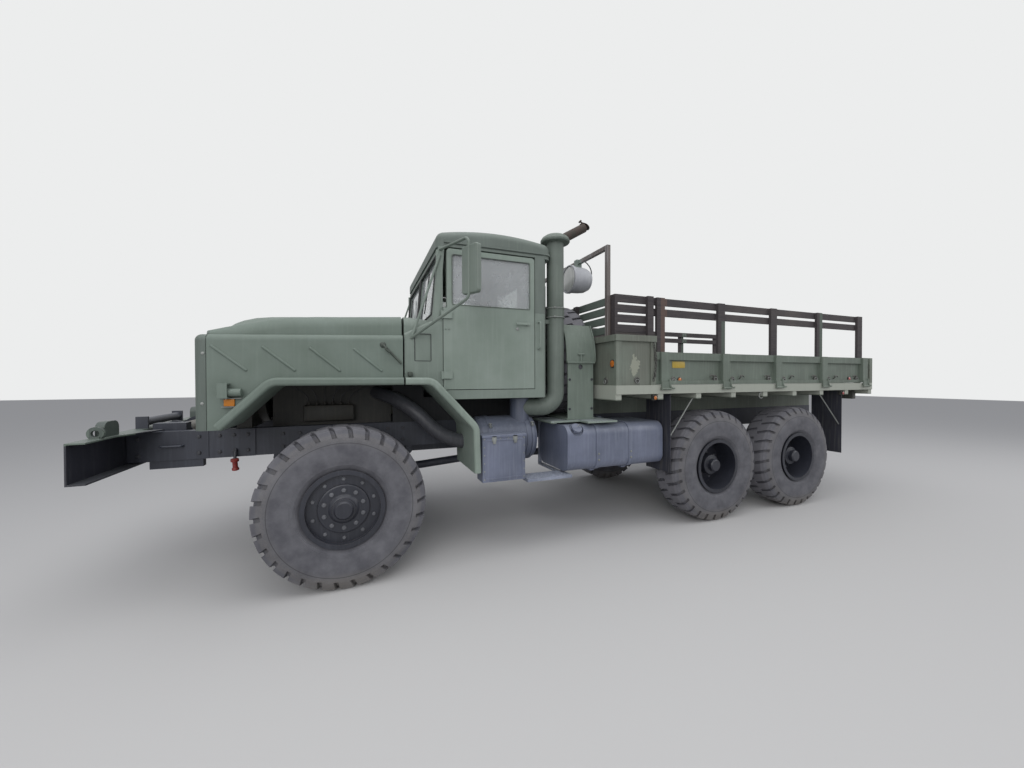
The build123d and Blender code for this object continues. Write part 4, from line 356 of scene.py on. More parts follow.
def torus(bm, place, major, minor, stretch=1.0, turns=20, sides=8):
    """Adds a torus round the placement's own Z, drawn out along its X to make a chain link."""
    loops = []
    for x, y in circle(1.0, turns):
        middle, out = Vector((major * stretch * x, major * y, 0)), Vector((x, y, 0))
        wire = [middle + u * out + Vector((0, 0, v)) for u, v in circle(minor, sides)]
        loops.append([bm.verts.new(place @ point) for point in wire])
    for k in range(turns):
        low, high = loops[k], loops[(k + 1) % turns]
        for j in range(sides):
            n = (j + 1) % sides
            bm.faces.new((low[j], high[j], high[n], low[n]))


def slab(bm, a, b, bevel, place=None):
    """Adds a block between two corners with rounded edges."""
    a, b = Vector(a), Vector(b)
    sized = Matrix.Translation((a + b) / 2) @ Matrix.Diagonal((*[abs(v) for v in b - a], 1.0))
    made = bmesh.ops.create_cube(bm, size=1.0, matrix=place @ sized if place else sized)
    edges = list(dict.fromkeys(e for v in made["verts"] for e in v.link_edges))
    bmesh.ops.bevel(bm, geom=edges, offset=bevel, segments=2, affect="EDGES", profile=0.5)


def blocks(name, boxes, material, body, slot):
    """Rounded blocks as one piece: two corners, the rounding and maybe a placement for each."""
    bm = bmesh.new()
    for box in boxes:
        slab(bm, *box)
    return shape(name, bm, material, body, slot)


TOP_GREEN, LUG_GREEN = "5c685f", "46504a"
black = enamel("chassis_enamel_blue_black", "2f323d 565a64 242730 4f463f", rough=0.5, dust=0.5)
flange = (TOP_GREEN, (4.0, -1.2, 1.195), (4.17, 1.2, 1.4))
lugs = (LUG_GREEN, (4.06, -1.2, 1.215), (4.13, 1.2, 1.4))
paint = "2b2c35 66696c 22232b 5a4f45"
bumper_black = enamel("bumper_enamel_black", paint, rough=0.5, dust=0.3, chips=0.7, panels=(flange, lugs))
coat(black, "frame", "winch", "axles", "leaf_springs", "driveline")
coat(black, "knuckle_left", "knuckle_right", "tie_rod")
coat(bumper_black, "front_bumper")
bolt_steel = enamel("bolt_steel_blackened", "33353c 5d5f63 27282e 5b4a3c", rough=0.45, chips=0.8, edge_mm=1.5)
NOSE_RAIL_Y, RAIL_Y, BUMPER_FACE_X = 0.4552, 0.4452, 4.155
for side, word in SIDES:
    rail = [(x, side * NOSE_RAIL_Y, z) for x in (3.34, 3.44, 3.54, 3.68, 4.07) for z in (1.005, 1.14)]
    rail_xs = (2.95, 3.08, 2.2, 2.06, -0.15, -0.3, -3.75, -3.9)
    rail += [(x, side * RAIL_Y, z) for x in rail_xs for z in (1.02, 1.13)]
    bolts("rail_bolts_" + word, rail, (0, side, 0), 0.024, bolt_steel, *ON_FRAME)
    face = [(BUMPER_FACE_X, side * y, z) for y in (0.42, 0.52) for z in (1.0, 1.15)]
    bolts("bumper_bolts_" + word, face, AHEAD, 0.028, bolt_steel, *ON_FRAME)
# Air-line coupling with its red dummy cover, hung in front of the left rail
red_cover = enamel("moulded_cover_red", "8c2f2b a0655c 74241f 3c2b27", rough=0.42, dust=0.2)
knob = mm("0 0, 26 0, 26 12, 19 20, 19 70, 30 78, 30 94, 12 100, 0 100")
turned("gladhand_cover_red", knob, outward((3.425, 0.478, 0.85), (0, 0.25, 1)), 18, red_cover, *ON_FRAME)
drop = mm("3425 460 1020, 3425 475 1000, 3425 490 970, 3425 492 930")
tube("gladhand_hose", drop, 0.012, bolt_steel, *ON_FRAME)
# Winch rope: galvanised steel strands, wound on the drum in one close layer
rope_steel = enamel("wire_rope_galvanised", "6d6c68 8e8c86 4c4a46 5b4436", rough=0.45, chips=0.7, edge_mm=1.0)
ROPE_R, DRUM_R, DRUM_HALF, DRUM_X, DRUM_Z, ROPE_PITCH = 0.0065, 0.085, 0.232, 3.905, 1.130, 0.03
bm = bmesh.new()
for k in range(int(2 * DRUM_HALF / (2 * ROPE_R))):
    y = -DRUM_HALF + (k + 0.5) * 2 * ROPE_R
    place = Matrix.Translation((DRUM_X, y, DRUM_Z)) @ spin(math.pi / 2, "X") @ spin(ROPE_PITCH, "Y")
    torus(bm, place, DRUM_R + ROPE_R, ROPE_R, turns=28, sides=6)
shape("winch_rope", bm, rope_steel, *ON_FRAME)

# Axles and springs: forged bowls, brake chambers and stacked leaves under the same black enamel,
# brown with road dust. Rubber hoses feed the brakes.
AXLES = {"front": 2.565, "mid": -1.296, "rear": -2.668}
HUB_Z = 0.62
hose_rubber = enamel("hose_rubber_black", "26272b 55534f 1d1e21 3a3733", rough=0.7, dust=0.5, chips=0.1)
chamber = mm("0 0, 55 0, 85 20, 85 55, 92 58, 92 70, 85 73, 85 110, 40 135, 0 135")
for side, word in SIDES:
    for x in (AXLES["mid"], AXLES["rear"]):
        name = "%s_%d" % (word, -x * 1000)
        place = outward((x + 0.16, side * 0.56, HUB_Z + 0.02), (0.9, 0, 0.35))
        turned("brake_chamber_" + name, chamber, place, 28, bolt_steel, *ON_FRAME)
        sag = mm("300 560 70, 360 550 160, 300 500 300, 220 440 380")
        hose = [(x + a, side * y, HUB_Z + z) for a, y, z in sag]
        tube("brake_hose_" + name, hose, 0.009, hose_rubber, *ON_FRAME, order=4)

# Engine and radiator: a grey-green painted iron block and a brass-cored radiator, both filmed
# with oil and road dust. Valve gear, injection lines, fan and hoses are bolted round them.
iron = enamel("engine_casting_grey", "3b3a35 5d594f 282826 4a3a2c", rough=0.6, dust=0.5, chips=0.9)
coat(iron, "engine", "radiator")
# Rocker covers in three lengths, each on a flange held by small bolts
ENGINE_TOP, ENGINE_SIDE, ENGINE_FRONT = 1.750, 0.290, 3.185
HEADS = (2.36, 2.68, 3.00)
covers, RIB_LOW, RIB_HIGH = [], ENGINE_TOP + 0.078, ENGINE_TOP + 0.088
for x in HEADS:
    covers.append(((x - 0.145, -0.150, ENGINE_TOP - 0.002), (x + 0.145, 0.110, ENGINE_TOP + 0.022), 0.004))
    covers.append(((x - 0.128, -0.133, ENGINE_TOP + 0.02), (x + 0.128, 0.093, ENGINE_TOP + 0.082), 0.022))
    for rib in [x + 0.032 * k for k in range(-3, 4)]:
        covers.append(((rib - 0.004, -0.11, RIB_LOW), (rib + 0.004, 0.07, RIB_HIGH), 0.003))
blocks("rocker_covers", covers, iron, *ON_ENGINE)
spots = [(x + d, y) for x in HEADS for d in (-0.137, 0.0, 0.137) for y in (-0.142, 0.102)]
heads = [(x, y, ENGINE_TOP + 0.022) for x, y in spots]
bolts("rocker_cover_bolts", heads, UP, 0.011, bolt_steel, *ON_ENGINE)
# Exhaust manifold on the right, injection pump and its six steel lines on the left
port = mm("0 0, 42 0, 42 12, 26 14, 26 60, 0 60")
union = mm("0 0, 14 0, 14 20, 9 24, 9 40, 0 40")
PUMP_Y = ENGINE_SIDE + 0.05
cylinders = [(2.285 + k * 0.155, 2.55 + k * 0.155 * 0.44) for k in range(6)]
bm = bmesh.new()
for x, pump_x in cylinders:
    lathe(bm, port, outward((x, -ENGINE_SIDE, 1.60), (0, -1, 0)), 20)
slab(bm, (2.50, ENGINE_SIDE - 0.004, 1.22), (2.93, ENGINE_SIDE + 0.095, 1.37), 0.018)
for x, pump_x in cylinders:
    lathe(bm, union, outward((pump_x, PUMP_Y, 1.365), UP), 12)
shape("manifold_ports_and_pump", bm, iron, *ON_ENGINE)
log = mm("2240 -340 1600, 2650 -345 1600, 3090 -340 1600")
tube("exhaust_manifold", log, 0.034, iron, *ON_ENGINE)
for k, (x, pump_x) in enumerate(cylinders):
    line = [(pump_x, PUMP_Y, 1.40), (pump_x, PUMP_Y, 1.47), (x, ENGINE_SIDE + 0.045, 1.56)]
    line += [(x, ENGINE_SIDE + 0.03, 1.72), (x, 0.16, ENGINE_TOP + 0.012)]
    tube("injector_line_%d" % k, line, 0.0035, bolt_steel, *ON_ENGINE)
# Fan, its hub and pulleys with their belt, and the radiator's cap and top hose
fan_paint = enamel("fan_enamel_grey", "4c4d4b 6a6860 3a3b3a 55463a", rough=0.5, dust=0.4, chips=0.6)
FAN_X, FAN_Z, CRANK_Z, FAN_BLADES = 3.278, 1.54, 1.10, 6
bm = bmesh.new()
for k in range(FAN_BLADES):
    blade = Matrix.Translation((FAN_X, 0, FAN_Z)) @ spin(2 * math.pi * k / FAN_BLADES, "X")
    blade = blade @ Matrix.Translation((0, 0, 0.160)) @ spin(0.5, "Z")
    slab(bm, (-0.003, -0.045, -0.100), (0.003, 0.045, 0.100), 0.0025, blade)
for z, radius, hub in ((FAN_Z, 0.085, 0.105), (CRANK_Z, 0.110, 0.034)):
    groove = [(0, 0), (radius, 0), (radius, 0.006), (radius - 0.012, 0.013), (radius, 0.020), (radius, 0.026)]
    groove += [(0.05, 0.026), (0.05, hub), (0, hub)]
    lathe(bm, groove, outward((ENGINE_FRONT - 0.001, 0, z), AHEAD), 32)
shape("fan_and_pulleys", bm, fan_paint, *ON_ENGINE)
belt_rubber = enamel("belt_rubber_black", "222326 4b4a47 1a1b1d 35322f", rough=0.7, dust=0.3, chips=0.0)
loop = []
for z, radius, start in ((FAN_Z, 0.079, -1.5), (CRANK_Z, 0.104, 1.64)):
    turns = [start + 0.375 * k for k in range(9)]
    loop += [(ENGINE_FRONT + 0.012, radius * math.sin(t), z + radius * math.cos(t)) for t in turns]
tube("fan_belt", loop, 0.0055, belt_rubber, *RUBBER, closed=True)
hose = mm("3150 170 1700, 3200 170 1730, 3240 190 1800, 3330 200 1810")
tube("radiator_top_hose", hose, 0.026, belt_rubber, *RUBBER)
cap = mm("0 0, 34 0, 34 10, 28 14, 28 22, 12 26, 0 26")
turned("radiator_cap", cap, outward((3.37, 0, 1.855), UP), 24, bolt_steel, *ON_ENGINE)
# Dark rubber sheets stand beside the frame rails behind the front arches, painted shade that fills the gap
# under the cab, and a pressed cover closes the engine's rear end
# Near-black sheets: painted shade under the cab
shade_sheet_black = enamel("splash_shield_rubber", "232428 45443f 1b1c1f 33312e", rough=0.75, dust=0.3, chips=0.0)
SHADE_SHEET_Y, SHADE_SHEET_T = 0.450, 0.004
SHADE_SHEET_OUTLINE = mm("2155 1190, 2155 1545, 1860 1545, 1860 1428, 800 1428, 800 1192")
for side, word in SIDES:
    bm = bmesh.new()
    sheet = bm.faces.new([bm.verts.new((x, side * SHADE_SHEET_Y, z)) for x, z in SHADE_SHEET_OUTLINE])
    pulled = bmesh.ops.extrude_face_region(bm, geom=[sheet])["geom"]
    moved = [v for v in pulled if isinstance(v, bmesh.types.BMVert)]
    bmesh.ops.translate(bm, vec=(0, side * SHADE_SHEET_T, 0), verts=moved)
    shape("splash_shield_" + word, bm, shade_sheet_black, *RUBBER, smooth=False)
blocks("engine_rear_cover", [((2.108, -0.290, 1.39), (2.165, 0.290, 1.755), 0.02)], iron, *ON_ENGINE)

# Battery box, air cleaner, fuel tank and step: sheet steel in a slate-blue enamel that still
# shines a little. Their lids, straps and caps are held by screws, bands and a chain.
DECK_GREEN = "7e8a81"
slate = enamel("tank_enamel_slate", "71778a 8b909c 5c6273 3f4145", rough=0.4, streaks=0.3)
paint = "5b6172 828793 4c5261 3f4145"
cleaner_grey = enamel("air_cleaner_enamel_slate", paint, rough=0.4, streaks=0.3, dust=0.4)
deck = (DECK_GREEN, (0, -1.2, 1.14), (0.8, 1.2, 1.2))
paint = "8b91a1 a3a8b2 6c7280 56524b"
step_grey = enamel("step_enamel_pale", paint, rough=0.45, streaks=0.3, dust=0.4, chips=0.9, panels=(deck,))
coat(slate, "fuel_tank", "battery_box")
coat(cleaner_grey, "air_tank")
coat(step_grey, "side_steps")
zinc = enamel("zinc_plate_dulled", "8e918e a3a5a1 6f726f 55504a", rough=0.45, dust=0.15, edge_mm=1.5)
BOX_FACE_Y = 1.1003
edge = [(1.052 + i * 0.0756, BOX_FACE_Y, z) for i in range(6) for z in (0.715, 1.072)]
edge += [(x, BOX_FACE_Y, 0.715 + k * 0.0714) for x in (1.052, 1.430) for k in range(1, 5)]
screws("battery_box_screws", edge, LEFT, 0.007, zinc, *ON_TANK)
latches = []
for x in (1.14, 1.34):
    latches.append(((x - 0.022, 1.100, 1.052), (x + 0.022, 1.108, 1.10), 0.002))
    latches.append(((x - 0.014, 1.104, 1.030), (x + 0.014, 1.116, 1.085), 0.003))
blocks("battery_box_latches", latches, zinc, *ON_TANK)
# Air cleaner bands: a clamp bolt through two ears on each band
CLEANER_Y, CLEANER_Z, CLEANER_R, EAR_TURN = 0.700, 1.020, 0.220, math.radians(38)
bm = bmesh.new()
for x in (0.871, 1.305):
    out = Vector((0, math.cos(EAR_TURN), math.sin(EAR_TURN)))
    place = outward(Vector((x, CLEANER_Y, CLEANER_Z)) + out * (CLEANER_R + 0.004), out)
    for shift in (-0.012, 0.012):
        slab(bm, (-0.016, shift - 0.003, 0), (0.016, shift + 0.003, 0.028), 0.001, place)
    across = place @ Matrix.Translation((0, -0.026, 0.016)) @ spin(-math.pi / 2, "X")
    lathe(bm, mm("0 0, 6 0, 6 52, 0 52"), across, 10)
shape("air_cleaner_clamps", bm, zinc, *ON_TANK)
# Air duct: a sheet-steel pipe from the cleaner's end up through the fender sheet to the engine,
# held at the cleaner by a pair of band clamps
duct_steel = enamel("duct_enamel_dark", "404146 62646a 323338 4b4038", rough=0.5, dust=0.4)
DUCT_R = 0.068
duct = mm("1420 700 1000, 1695 700 1000, 2060 640 1420, 2300 260 1480")
tube("air_duct", duct, DUCT_R, duct_steel, *ON_TANK)
bm = bmesh.new()
for x in (1.432, 1.462):
    torus(bm, outward((x, 0.70, 1.00), AHEAD), DUCT_R + 0.002, 0.006, turns=32)
shape("air_duct_clamps", bm, zinc, *ON_TANK)
# Tank straps: tension bolts low on the outer face; the filler cap's chain and its handle bar
strap_bolts = [(x, 1.1065, z) for x in (0.245, -0.145) for z in (0.80, 0.86)]
bolts("tank_strap_bolts", strap_bolts, LEFT, 0.017, zinc, *ON_TANK)
filler = outward((0.480, 1.0707, 1.1207), (0, 1, 1))
grip = [((-0.042, -0.007, 0.006), (0.042, 0.007, 0.020), 0.004, filler)]
for k in range(8):
    place = filler @ spin(2 * math.pi * k / 8, "Z") @ Matrix.Translation((0.0525, 0, -0.012))
    grip.append(((-0.003, -0.006, -0.008), (0.003, 0.006, 0.010), 0.0015, place))
blocks("filler_cap_grip", grip, slate, *ON_TANK)
hang = [filler @ Vector(p) for p in mm("0 0 16, 20 20 30, 50 35 20, 68 20 2")]
tube("filler_cap_chain", hang, 0.003, zinc, *ON_TANK)
# Step tread: raised oval bars punched through the plate, in staggered rows
bars = []
for row in range(5):
    for column in range(11):
        middle = (0.575 + column * 0.042 + (row % 2) * 0.021, 0.925 + row * 0.041, 0.683)
        turn = math.radians(35 if (row + column) % 2 else -35)
        place = Matrix.Translation(middle) @ spin(turn, "Z")
        bars.append(((-0.014, -0.0035, -0.001), (0.014, 0.0035, 0.003), 0.0014, place))
blocks("step_tread_bars", bars, step_grey, *ON_TANK)

# Cab: a riveted tub, a ribbed steel roof and a screen frame in matt green camouflage enamel.
# The roof takes a darker copy of the same enamel, painted shade for its curved sides, which lie in shade;
# dust has turned the sides below grey.
CAB_SIDE = 1.030
green = enamel("alkyd_enamel_green", "737e76 8b948d 667169 3b3a33", streaks=0.18)
door_green = enamel("alkyd_enamel_green_doors", "7d8880 919b93 707c73 3b3a33", streaks=0.18)
# Darker copy of the cab's green: painted shade on the roof's sides
roof_green_painted_shade = enamel("alkyd_enamel_green_painted_shade", "626b65 7f8982 565f59 3b3a33", streaks=0.14, dust=0.4)
coat(green, "cab_tub", "windscreen_frame")
coat(door_green, "door_left", "door_right")
coat(roof_green_painted_shade, "cab_roof")
# Crown of the cowl, level with the hood's, and the plates that close the screen pillars' sides
CROWN_HALF, CROWN_EDGE_R = 0.990, 0.095
CROWN_YS = (0.86, 0.82, 0.78, 0.74, 0.70, 0.66, 0.62, 0.58, 0.54, 0.50, 0.30, 0.0)
RISE_FROM, RISE_OVER = 0.895, 0.395


def crown(name, stations, material, body):
    """A raised panel as wide as the shoulders: x, and the heights of shoulder, side and middle."""
    bm = bmesh.new()
    bows = []
    for x, shoulder, side_z, middle_z in stations:
        bend = min(CROWN_EDGE_R, side_z - shoulder)
        line = [(CROWN_HALF, shoulder - 0.012)]
        for t in [math.pi * k / 16 for k in range(9)]:
            line.append((CROWN_HALF - bend * (1 - math.cos(t)), side_z - bend * (1 - math.sin(t))))
        for y in CROWN_YS:
            part = min(1.0, (RISE_FROM - y) / RISE_OVER)
            line.append((y, side_z + (middle_z - side_z) * part * part * (3 - 2 * part)))
        line += [(-y, z) for y, z in reversed(line[:-1])]
        bows.append([bm.verts.new((x, y, z)) for y, z in line])
    for front, back in zip(bows, bows[1:]):
        for k in range(len(front)):
            n = (k + 1) % len(front)
            bm.faces.new((front[k], front[n], back[n], back[k]))
    bm.faces.new(bows[0])
    bm.faces.new(bows[-1][::-1])
    return shape(name, bm, material, body, "body_green")


cowl = [(2.099, 1.96, 2.140, 2.168), (2.04, 1.96, 2.139, 2.162), (1.96, 1.96, 2.132, 2.146)]
cowl += [(1.90, 1.96, 2.124, 2.128), (1.872, 1.96, 2.116, 2.116)]
crown("cowl_crown", cowl, green, "chassis")
for side, word in SIDES:
    plate = ((1.777, side * 1.018, 2.095), (1.834, side * 1.026, 2.715), 0.002)
    blocks("screen_pillar_plate_" + word, [plate], green, *ON_CAB)
# Dusty laminated glass: light goes through, the sky lies on it, and wiped dust clouds it
glass, tree, place = new_material("laminated_glass_dusty")
dusty = span(tree, noise(tree, place, 4.0, 6.0, 0.7), 0.3, 0.8, 0.29, 0.40)
clear = {"Base Color": tone("dfe5e2"), "Roughness": 0.03, "IOR": 1.5, "Transmission Weight": 1.0}
soiled = put(tree, "BsdfPrincipled", {"Base Color": tone("bfc2c5"), "Roughness": 0.35})
glazing = put(tree, "MixShader", {0: dusty, 1: put(tree, "BsdfPrincipled", clear), 2: soiled})
in_shadow = put(tree, "LightPath", take="Is Shadow Ray")
passed = put(tree, "MixShader", {0: in_shadow, 1: glazing, 2: put(tree, "BsdfTransparent")})
put(tree, "OutputMaterial", {"Surface": passed})
coat(glass, "cab_glass", "door_glass_left", "door_glass_right")
seal_rubber = enamel("window_seal_rubber", "2a2b2c 5a5b59 1f2021 3a3936", rough=0.65, chips=0.0, edge_mm=1.0)
door_trim = enamel("window_strip_grey_green", "5b645d 7a827b 4d554f 3a3936", edge_mm=1.0)
SCREEN_X, SCREEN_Z, SCREEN_RAKE = 1.865, 2.1, 0.055 / 0.65
CORNER_LEAD = 1.02


def seal(name, corners, radius, width, body, material=seal_rubber):
    """A moulded rubber strip round a window with rounded corners."""
    path = []
    for i, corner in enumerate(corners):
        corner = Vector(corner)
        before = (Vector(corners[i - 1]) - corner).normalized() * radius
        after = (Vector(corners[(i + 1) % len(corners)]) - corner).normalized() * radius
        path += [corner + before * CORNER_LEAD, corner + before, corner]
        path += [corner + after, corner + after * CORNER_LEAD]
    return tube(name, path, width, material, body, "flap_rubber", closed=True)


def pane(left, right, low, high, at):
    """The four corners of an upright pane."""
    return [at(u, z) for u, z in ((left, low), (right, low), (right, high), (left, high))]


def screen_x(z):
    """The windscreen frame's raked front face."""
    return SCREEN_X - SCREEN_RAKE * (z - SCREEN_Z)


for side, word in SIDES:
    screen = pane(side * 0.030, side * 0.950, 2.175, 2.690, lambda y, z: (screen_x(z), y, z))
    seal("windscreen_seal_" + word, screen, 0.030, 0.010, "chassis")
    opening = pane(0.959, 1.696, 2.255, 2.690, lambda x, z: (x, side * 1.0308, z))
    seal("door_seal_" + word, opening, 0.030, 0.0045, "door_" + word, door_trim)
    # Brace from the cowl up to the windscreen pillar, beside the mirror's arms
    foot, head = Vector((2.040, side * 1.040, 1.960)), Vector((1.803, side * 1.038, 2.672))
    tube("mirror_brace_" + word, [foot, foot.lerp(head, 0.5), head], 0.011, green, *ON_CAB)
    # Wiper: a pivot below the pane, a flat arm and a rubber blade, parked across the glass
    pivot = Vector((screen_x(2.145) + 0.004, side * 0.42, 2.145))
    tip = Vector((screen_x(2.42) + 0.012, side * 0.60, 2.42))
    boss = mm("0 0, 16 0, 16 12, 9 16, 9 24, 0 24")
    turned("wiper_pivot_" + word, boss, outward(pivot, (1, 0, 0.08)), 18, bolt_steel, *ON_FRAME)
    lift = Vector((0.018, 0, 0))
    tube("wiper_arm_" + word, [pivot + lift, pivot.lerp(tip, 0.5) + lift, tip], 0.004, bolt_steel, *ON_FRAME)
    along = Vector((-0.0846 * 0.36, side * 0.12, 0.36)).normalized()
    blade = [tip + along * reach + Vector((-0.006, 0, 0)) for reach in (-0.19, -0.1, 0, 0.1, 0.19)]
    tube("wiper_blade_" + word, blade, 0.006, seal_rubber, *RUBBER)
rear = pane(-0.360, 0.360, 2.330, 2.630, lambda y, z: (0.7748, y, z))
seal("rear_window_seal", rear, 0.030, 0.008, "chassis")
# Rubber strip round the vent panel in the cowl's side
for side, word in SIDES:
    panel = pane(1.8805, 2.0165, 1.7605, 1.9895, lambda x, z: (x, side * 1.0302, z))
    seal("cowl_vent_seal_" + word, panel, 0.018, 0.0028, "chassis")
# Door hardware: hinge screws and the handle's lock
for side, word in SIDES:
    on_door = ("door_" + word, "body_green")
    hinge = [(1.752 - k * 0.028, side * 1.0305, z) for z in (1.61, 2.04) for k in (0, 1)]
    screws("door_hinge_screws_" + word, hinge, (0, side, 0), 0.009, green, *on_door)
    screws("door_lock_" + word, [(1.085, side * 1.0305, 2.07)], (0, side, 0), 0.016, zinc, *on_door)

# Hood: a tilting shell with both front fenders in the same enamel, paler on top where dust and
# wax lie, and a darker front cap held by countersunk screws. Rubber latches tie it to the cowl.
HOOD_SIDE, HOOD_NOSE_X = 1.060, 3.515
CAP_GREEN = "565f59"
nose = (CAP_GREEN, (3.4405, -1.2, 1.2), (3.6, 1.2, 2.1))
paint = "66726a 808b84 5b675e 3b3a33"
hood_green = enamel("alkyd_enamel_green_hood", paint, streaks=0.1, dust=0.28, panels=(nose,))
# Paler copy of the green for the rear fenders: painted light, for faces turned up and outward to the sky
flare_green_painted_light = enamel("alkyd_enamel_green_painted_highlight", "838f86 98a29b 717d74 4a463d", streaks=0.2, dust=0.4)
coat(hood_green, "hood", "grille")
coat(flare_green_painted_light, "rear_fenders")
# The hood's moulded crown: broader than the solid under it, steep at the nose's middle and rising
# slowly along the shoulders. Each knot is an x and a height.
CROWN_SIDE = mm("3456 1960, 3360 1992, 3220 2034, 3074 2069, 2922 2093, 2760 2105, 2600 2113, 2118 2141")
CROWN_MIDDLE = mm("3456 1966, 3425 2030, 3380 2078, 3330 2103, 3250 2126, 3136 2140, 2922 2150, 2118 2173")
SHOULDER_Z, SHOULDER_SLOPE = 1.925, 0.0336


def along(knots, x):
    """A height read off a line of knots."""
    for (x0, z0), (x1, z1) in zip(knots, knots[1:]):
        if x >= x1:
            return z0 + (z1 - z0) * (x0 - x) / (x0 - x1)
    return knots[-1][1]


stations = []
for x in sorted({x for x, z in CROWN_SIDE + CROWN_MIDDLE}, reverse=True):
    shoulder = SHOULDER_Z + SHOULDER_SLOPE * (HOOD_NOSE_X - x)
    stations.append((x, shoulder, along(CROWN_SIDE, x), along(CROWN_MIDDLE, x)))
crown("hood_crown", stations, hood_green, "hood")
latch_rubber = enamel("latch_rubber_dark_green", "3b433c 5f675f 2d342e 3a3933", dust=0.3)
latch = (latch_rubber, "hood", "flap_rubber")
for side, word in SIDES:
    out = (0, side, 0)
    caps = [(x, side * (HOOD_SIDE + 0.0003), z) for x, z in ((3.459, 1.79), (3.465, 1.44))]
    screws("hood_cap_screws_" + word, caps, out, 0.011, zinc, *ON_HOOD)
    pin, y = (2.271, side * HOOD_SIDE, 1.884), side * (HOOD_SIDE + 0.022)
    bar = [pin, (2.268, y, 1.881), (2.160, y, 1.766), (2.128, y, 1.732)]
    tube("hood_latch_bar_" + word, bar, 0.010, *latch)
    grip = [(2.236, y - side * 0.004, 1.846), (2.246, y + side * 0.012, 1.858)]
    grip += [(2.256, y + side * 0.012, 1.848), (2.222, y + side * 0.010, 1.822)]
    tube("hood_latch_handle_" + word, grip, 0.008, *latch)
    screws("hood_latch_pivot_" + word, [pin], out, 0.024, *latch)
    keeper = ((2.040, side * (CAB_SIDE - 0.002), 1.628), (2.076, side * (CAB_SIDE + 0.045), 1.668), 0.006)
    blocks("hood_latch_keeper_" + word, [keeper], latch_rubber, *RUBBER)
# Side turn signal: two bright plates hold its amber lens
plates = []
for side, word in SIDES:
    for low in (1.4115, 1.4705):
        plates.append(((3.228, side * 1.061, low), (3.348, side * 1.096, low + 0.005), 0.002))
blocks("side_lamp_plates", plates, zinc, *ON_HOOD)

# Lamps: pressed bowls with glass lenses in the hood's front, small round markers above them and
# amber side lenses. The glass is fluted inside; the bowls behind it are bright.
FLUTE_MM, BAND_TURN = 9, 6.283
LAMP_Y, LAMP_Z = 0.740, 1.560


def bands(tree, place, pitch_mm, axis):
    """Straight flutes or threads that lie a pitch apart along an axis."""
    sockets = {"Vector": place, "Scale": 1000 / pitch_mm / BAND_TURN}
    return put(tree, "TexWave", sockets, "Fac", wave_type="BANDS", bands_direction=axis)


lens_glass, tree, place = new_material("lamp_glass_and_bowl")
flute = bands(tree, place, FLUTE_MM, "Y")
bulbs = [vectors(tree, "DISTANCE", place, (3.54, y, LAMP_Z), take="Value") for y in (LAMP_Y, -LAMP_Y)]
ring = span(tree, maths(tree, "MINIMUM", *bulbs), 0.092, 0.100)
x, y, z = split(tree, place)
on_side = maths(tree, "GREATER_THAN", maths(tree, "ABSOLUTE", y), 1.065)
coloured = maths(tree, "MAXIMUM", on_side, maths(tree, "GREATER_THAN", z, 1.695))
colour = mix(tree, coloured, mix(tree, flute, "c2c6c6", "8f9493"), "b8711c")
rim = maths(tree, "MULTIPLY", ring, maths(tree, "SUBTRACT", 1.0, coloured))
colour = mix(tree, rim, colour, "3d423e")
surface(tree, colour, 0.12, {"Coat Weight": 0.6, "Normal": relief(tree, flute, 0.25, 0.002)})
coat(lens_glass, "head_lamps")
# Head lamps: a painted ring and a bright bezel round each fluted lens, held by three screws
LAMP_PARTS = (
    ("ring", hood_green, "body_green",
     mm("0 0, 126 0, 126 10, 118 22, 104 26, 101 14, 0 14")),
    ("bezel", zinc, "tank_grey",
     mm("0 12, 102.5 12, 102.5 28, 99 33, 93 30, 92 20, 0 20")),
    ("lens", lens_glass, "lamp_glass",
     mm("0 18, 91.5 18, 91.5 24, 80 31, 60 37, 30 41, 0 42")),
)
for side, word in SIDES:
    place = outward((HOOD_NOSE_X - 0.002, side * LAMP_Y, LAMP_Z), AHEAD)
    for part, material, slot, profile in LAMP_PARTS:
        turned("head_lamp_%s_%s" % (part, word), profile, place, 56, material, "hood", slot)
    held = [place @ Vector((x, y, 0.023)) for x, y in circle(0.112, 3, math.pi / 2)]
    screws("head_lamp_screws_" + word, held, AHEAD, 0.005, zinc, *ON_HOOD)

# Seats: cushions and backs of stitched green-grey canvas over foam, on painted steel frames.
# Each pad is stuffed, sewn down along its channels and piped round its face.
WEAVE_MM = 4
SWELL, SEAM_HALF, SEAM_DEPTH, PIPING_Z = 0.020, 0.014, 0.011, 0.72
canvas, tree, place = new_material("seat_canvas")
weave = maths(tree, "MULTIPLY", bands(tree, place, WEAVE_MM, "X"), bands(tree, place, WEAVE_MM, "Y"))
worn = span(tree, noise(tree, place, 5.0, 6.0, 0.65), 0.35, 0.7)
cloth = relief(tree, weave, 0.3, 0.001)
surface(tree, mix(tree, worn, "4b5048", "6a6d60"), 0.88, {"Normal": cloth, "Sheen Weight": 0.25})
coat(canvas, "seats")


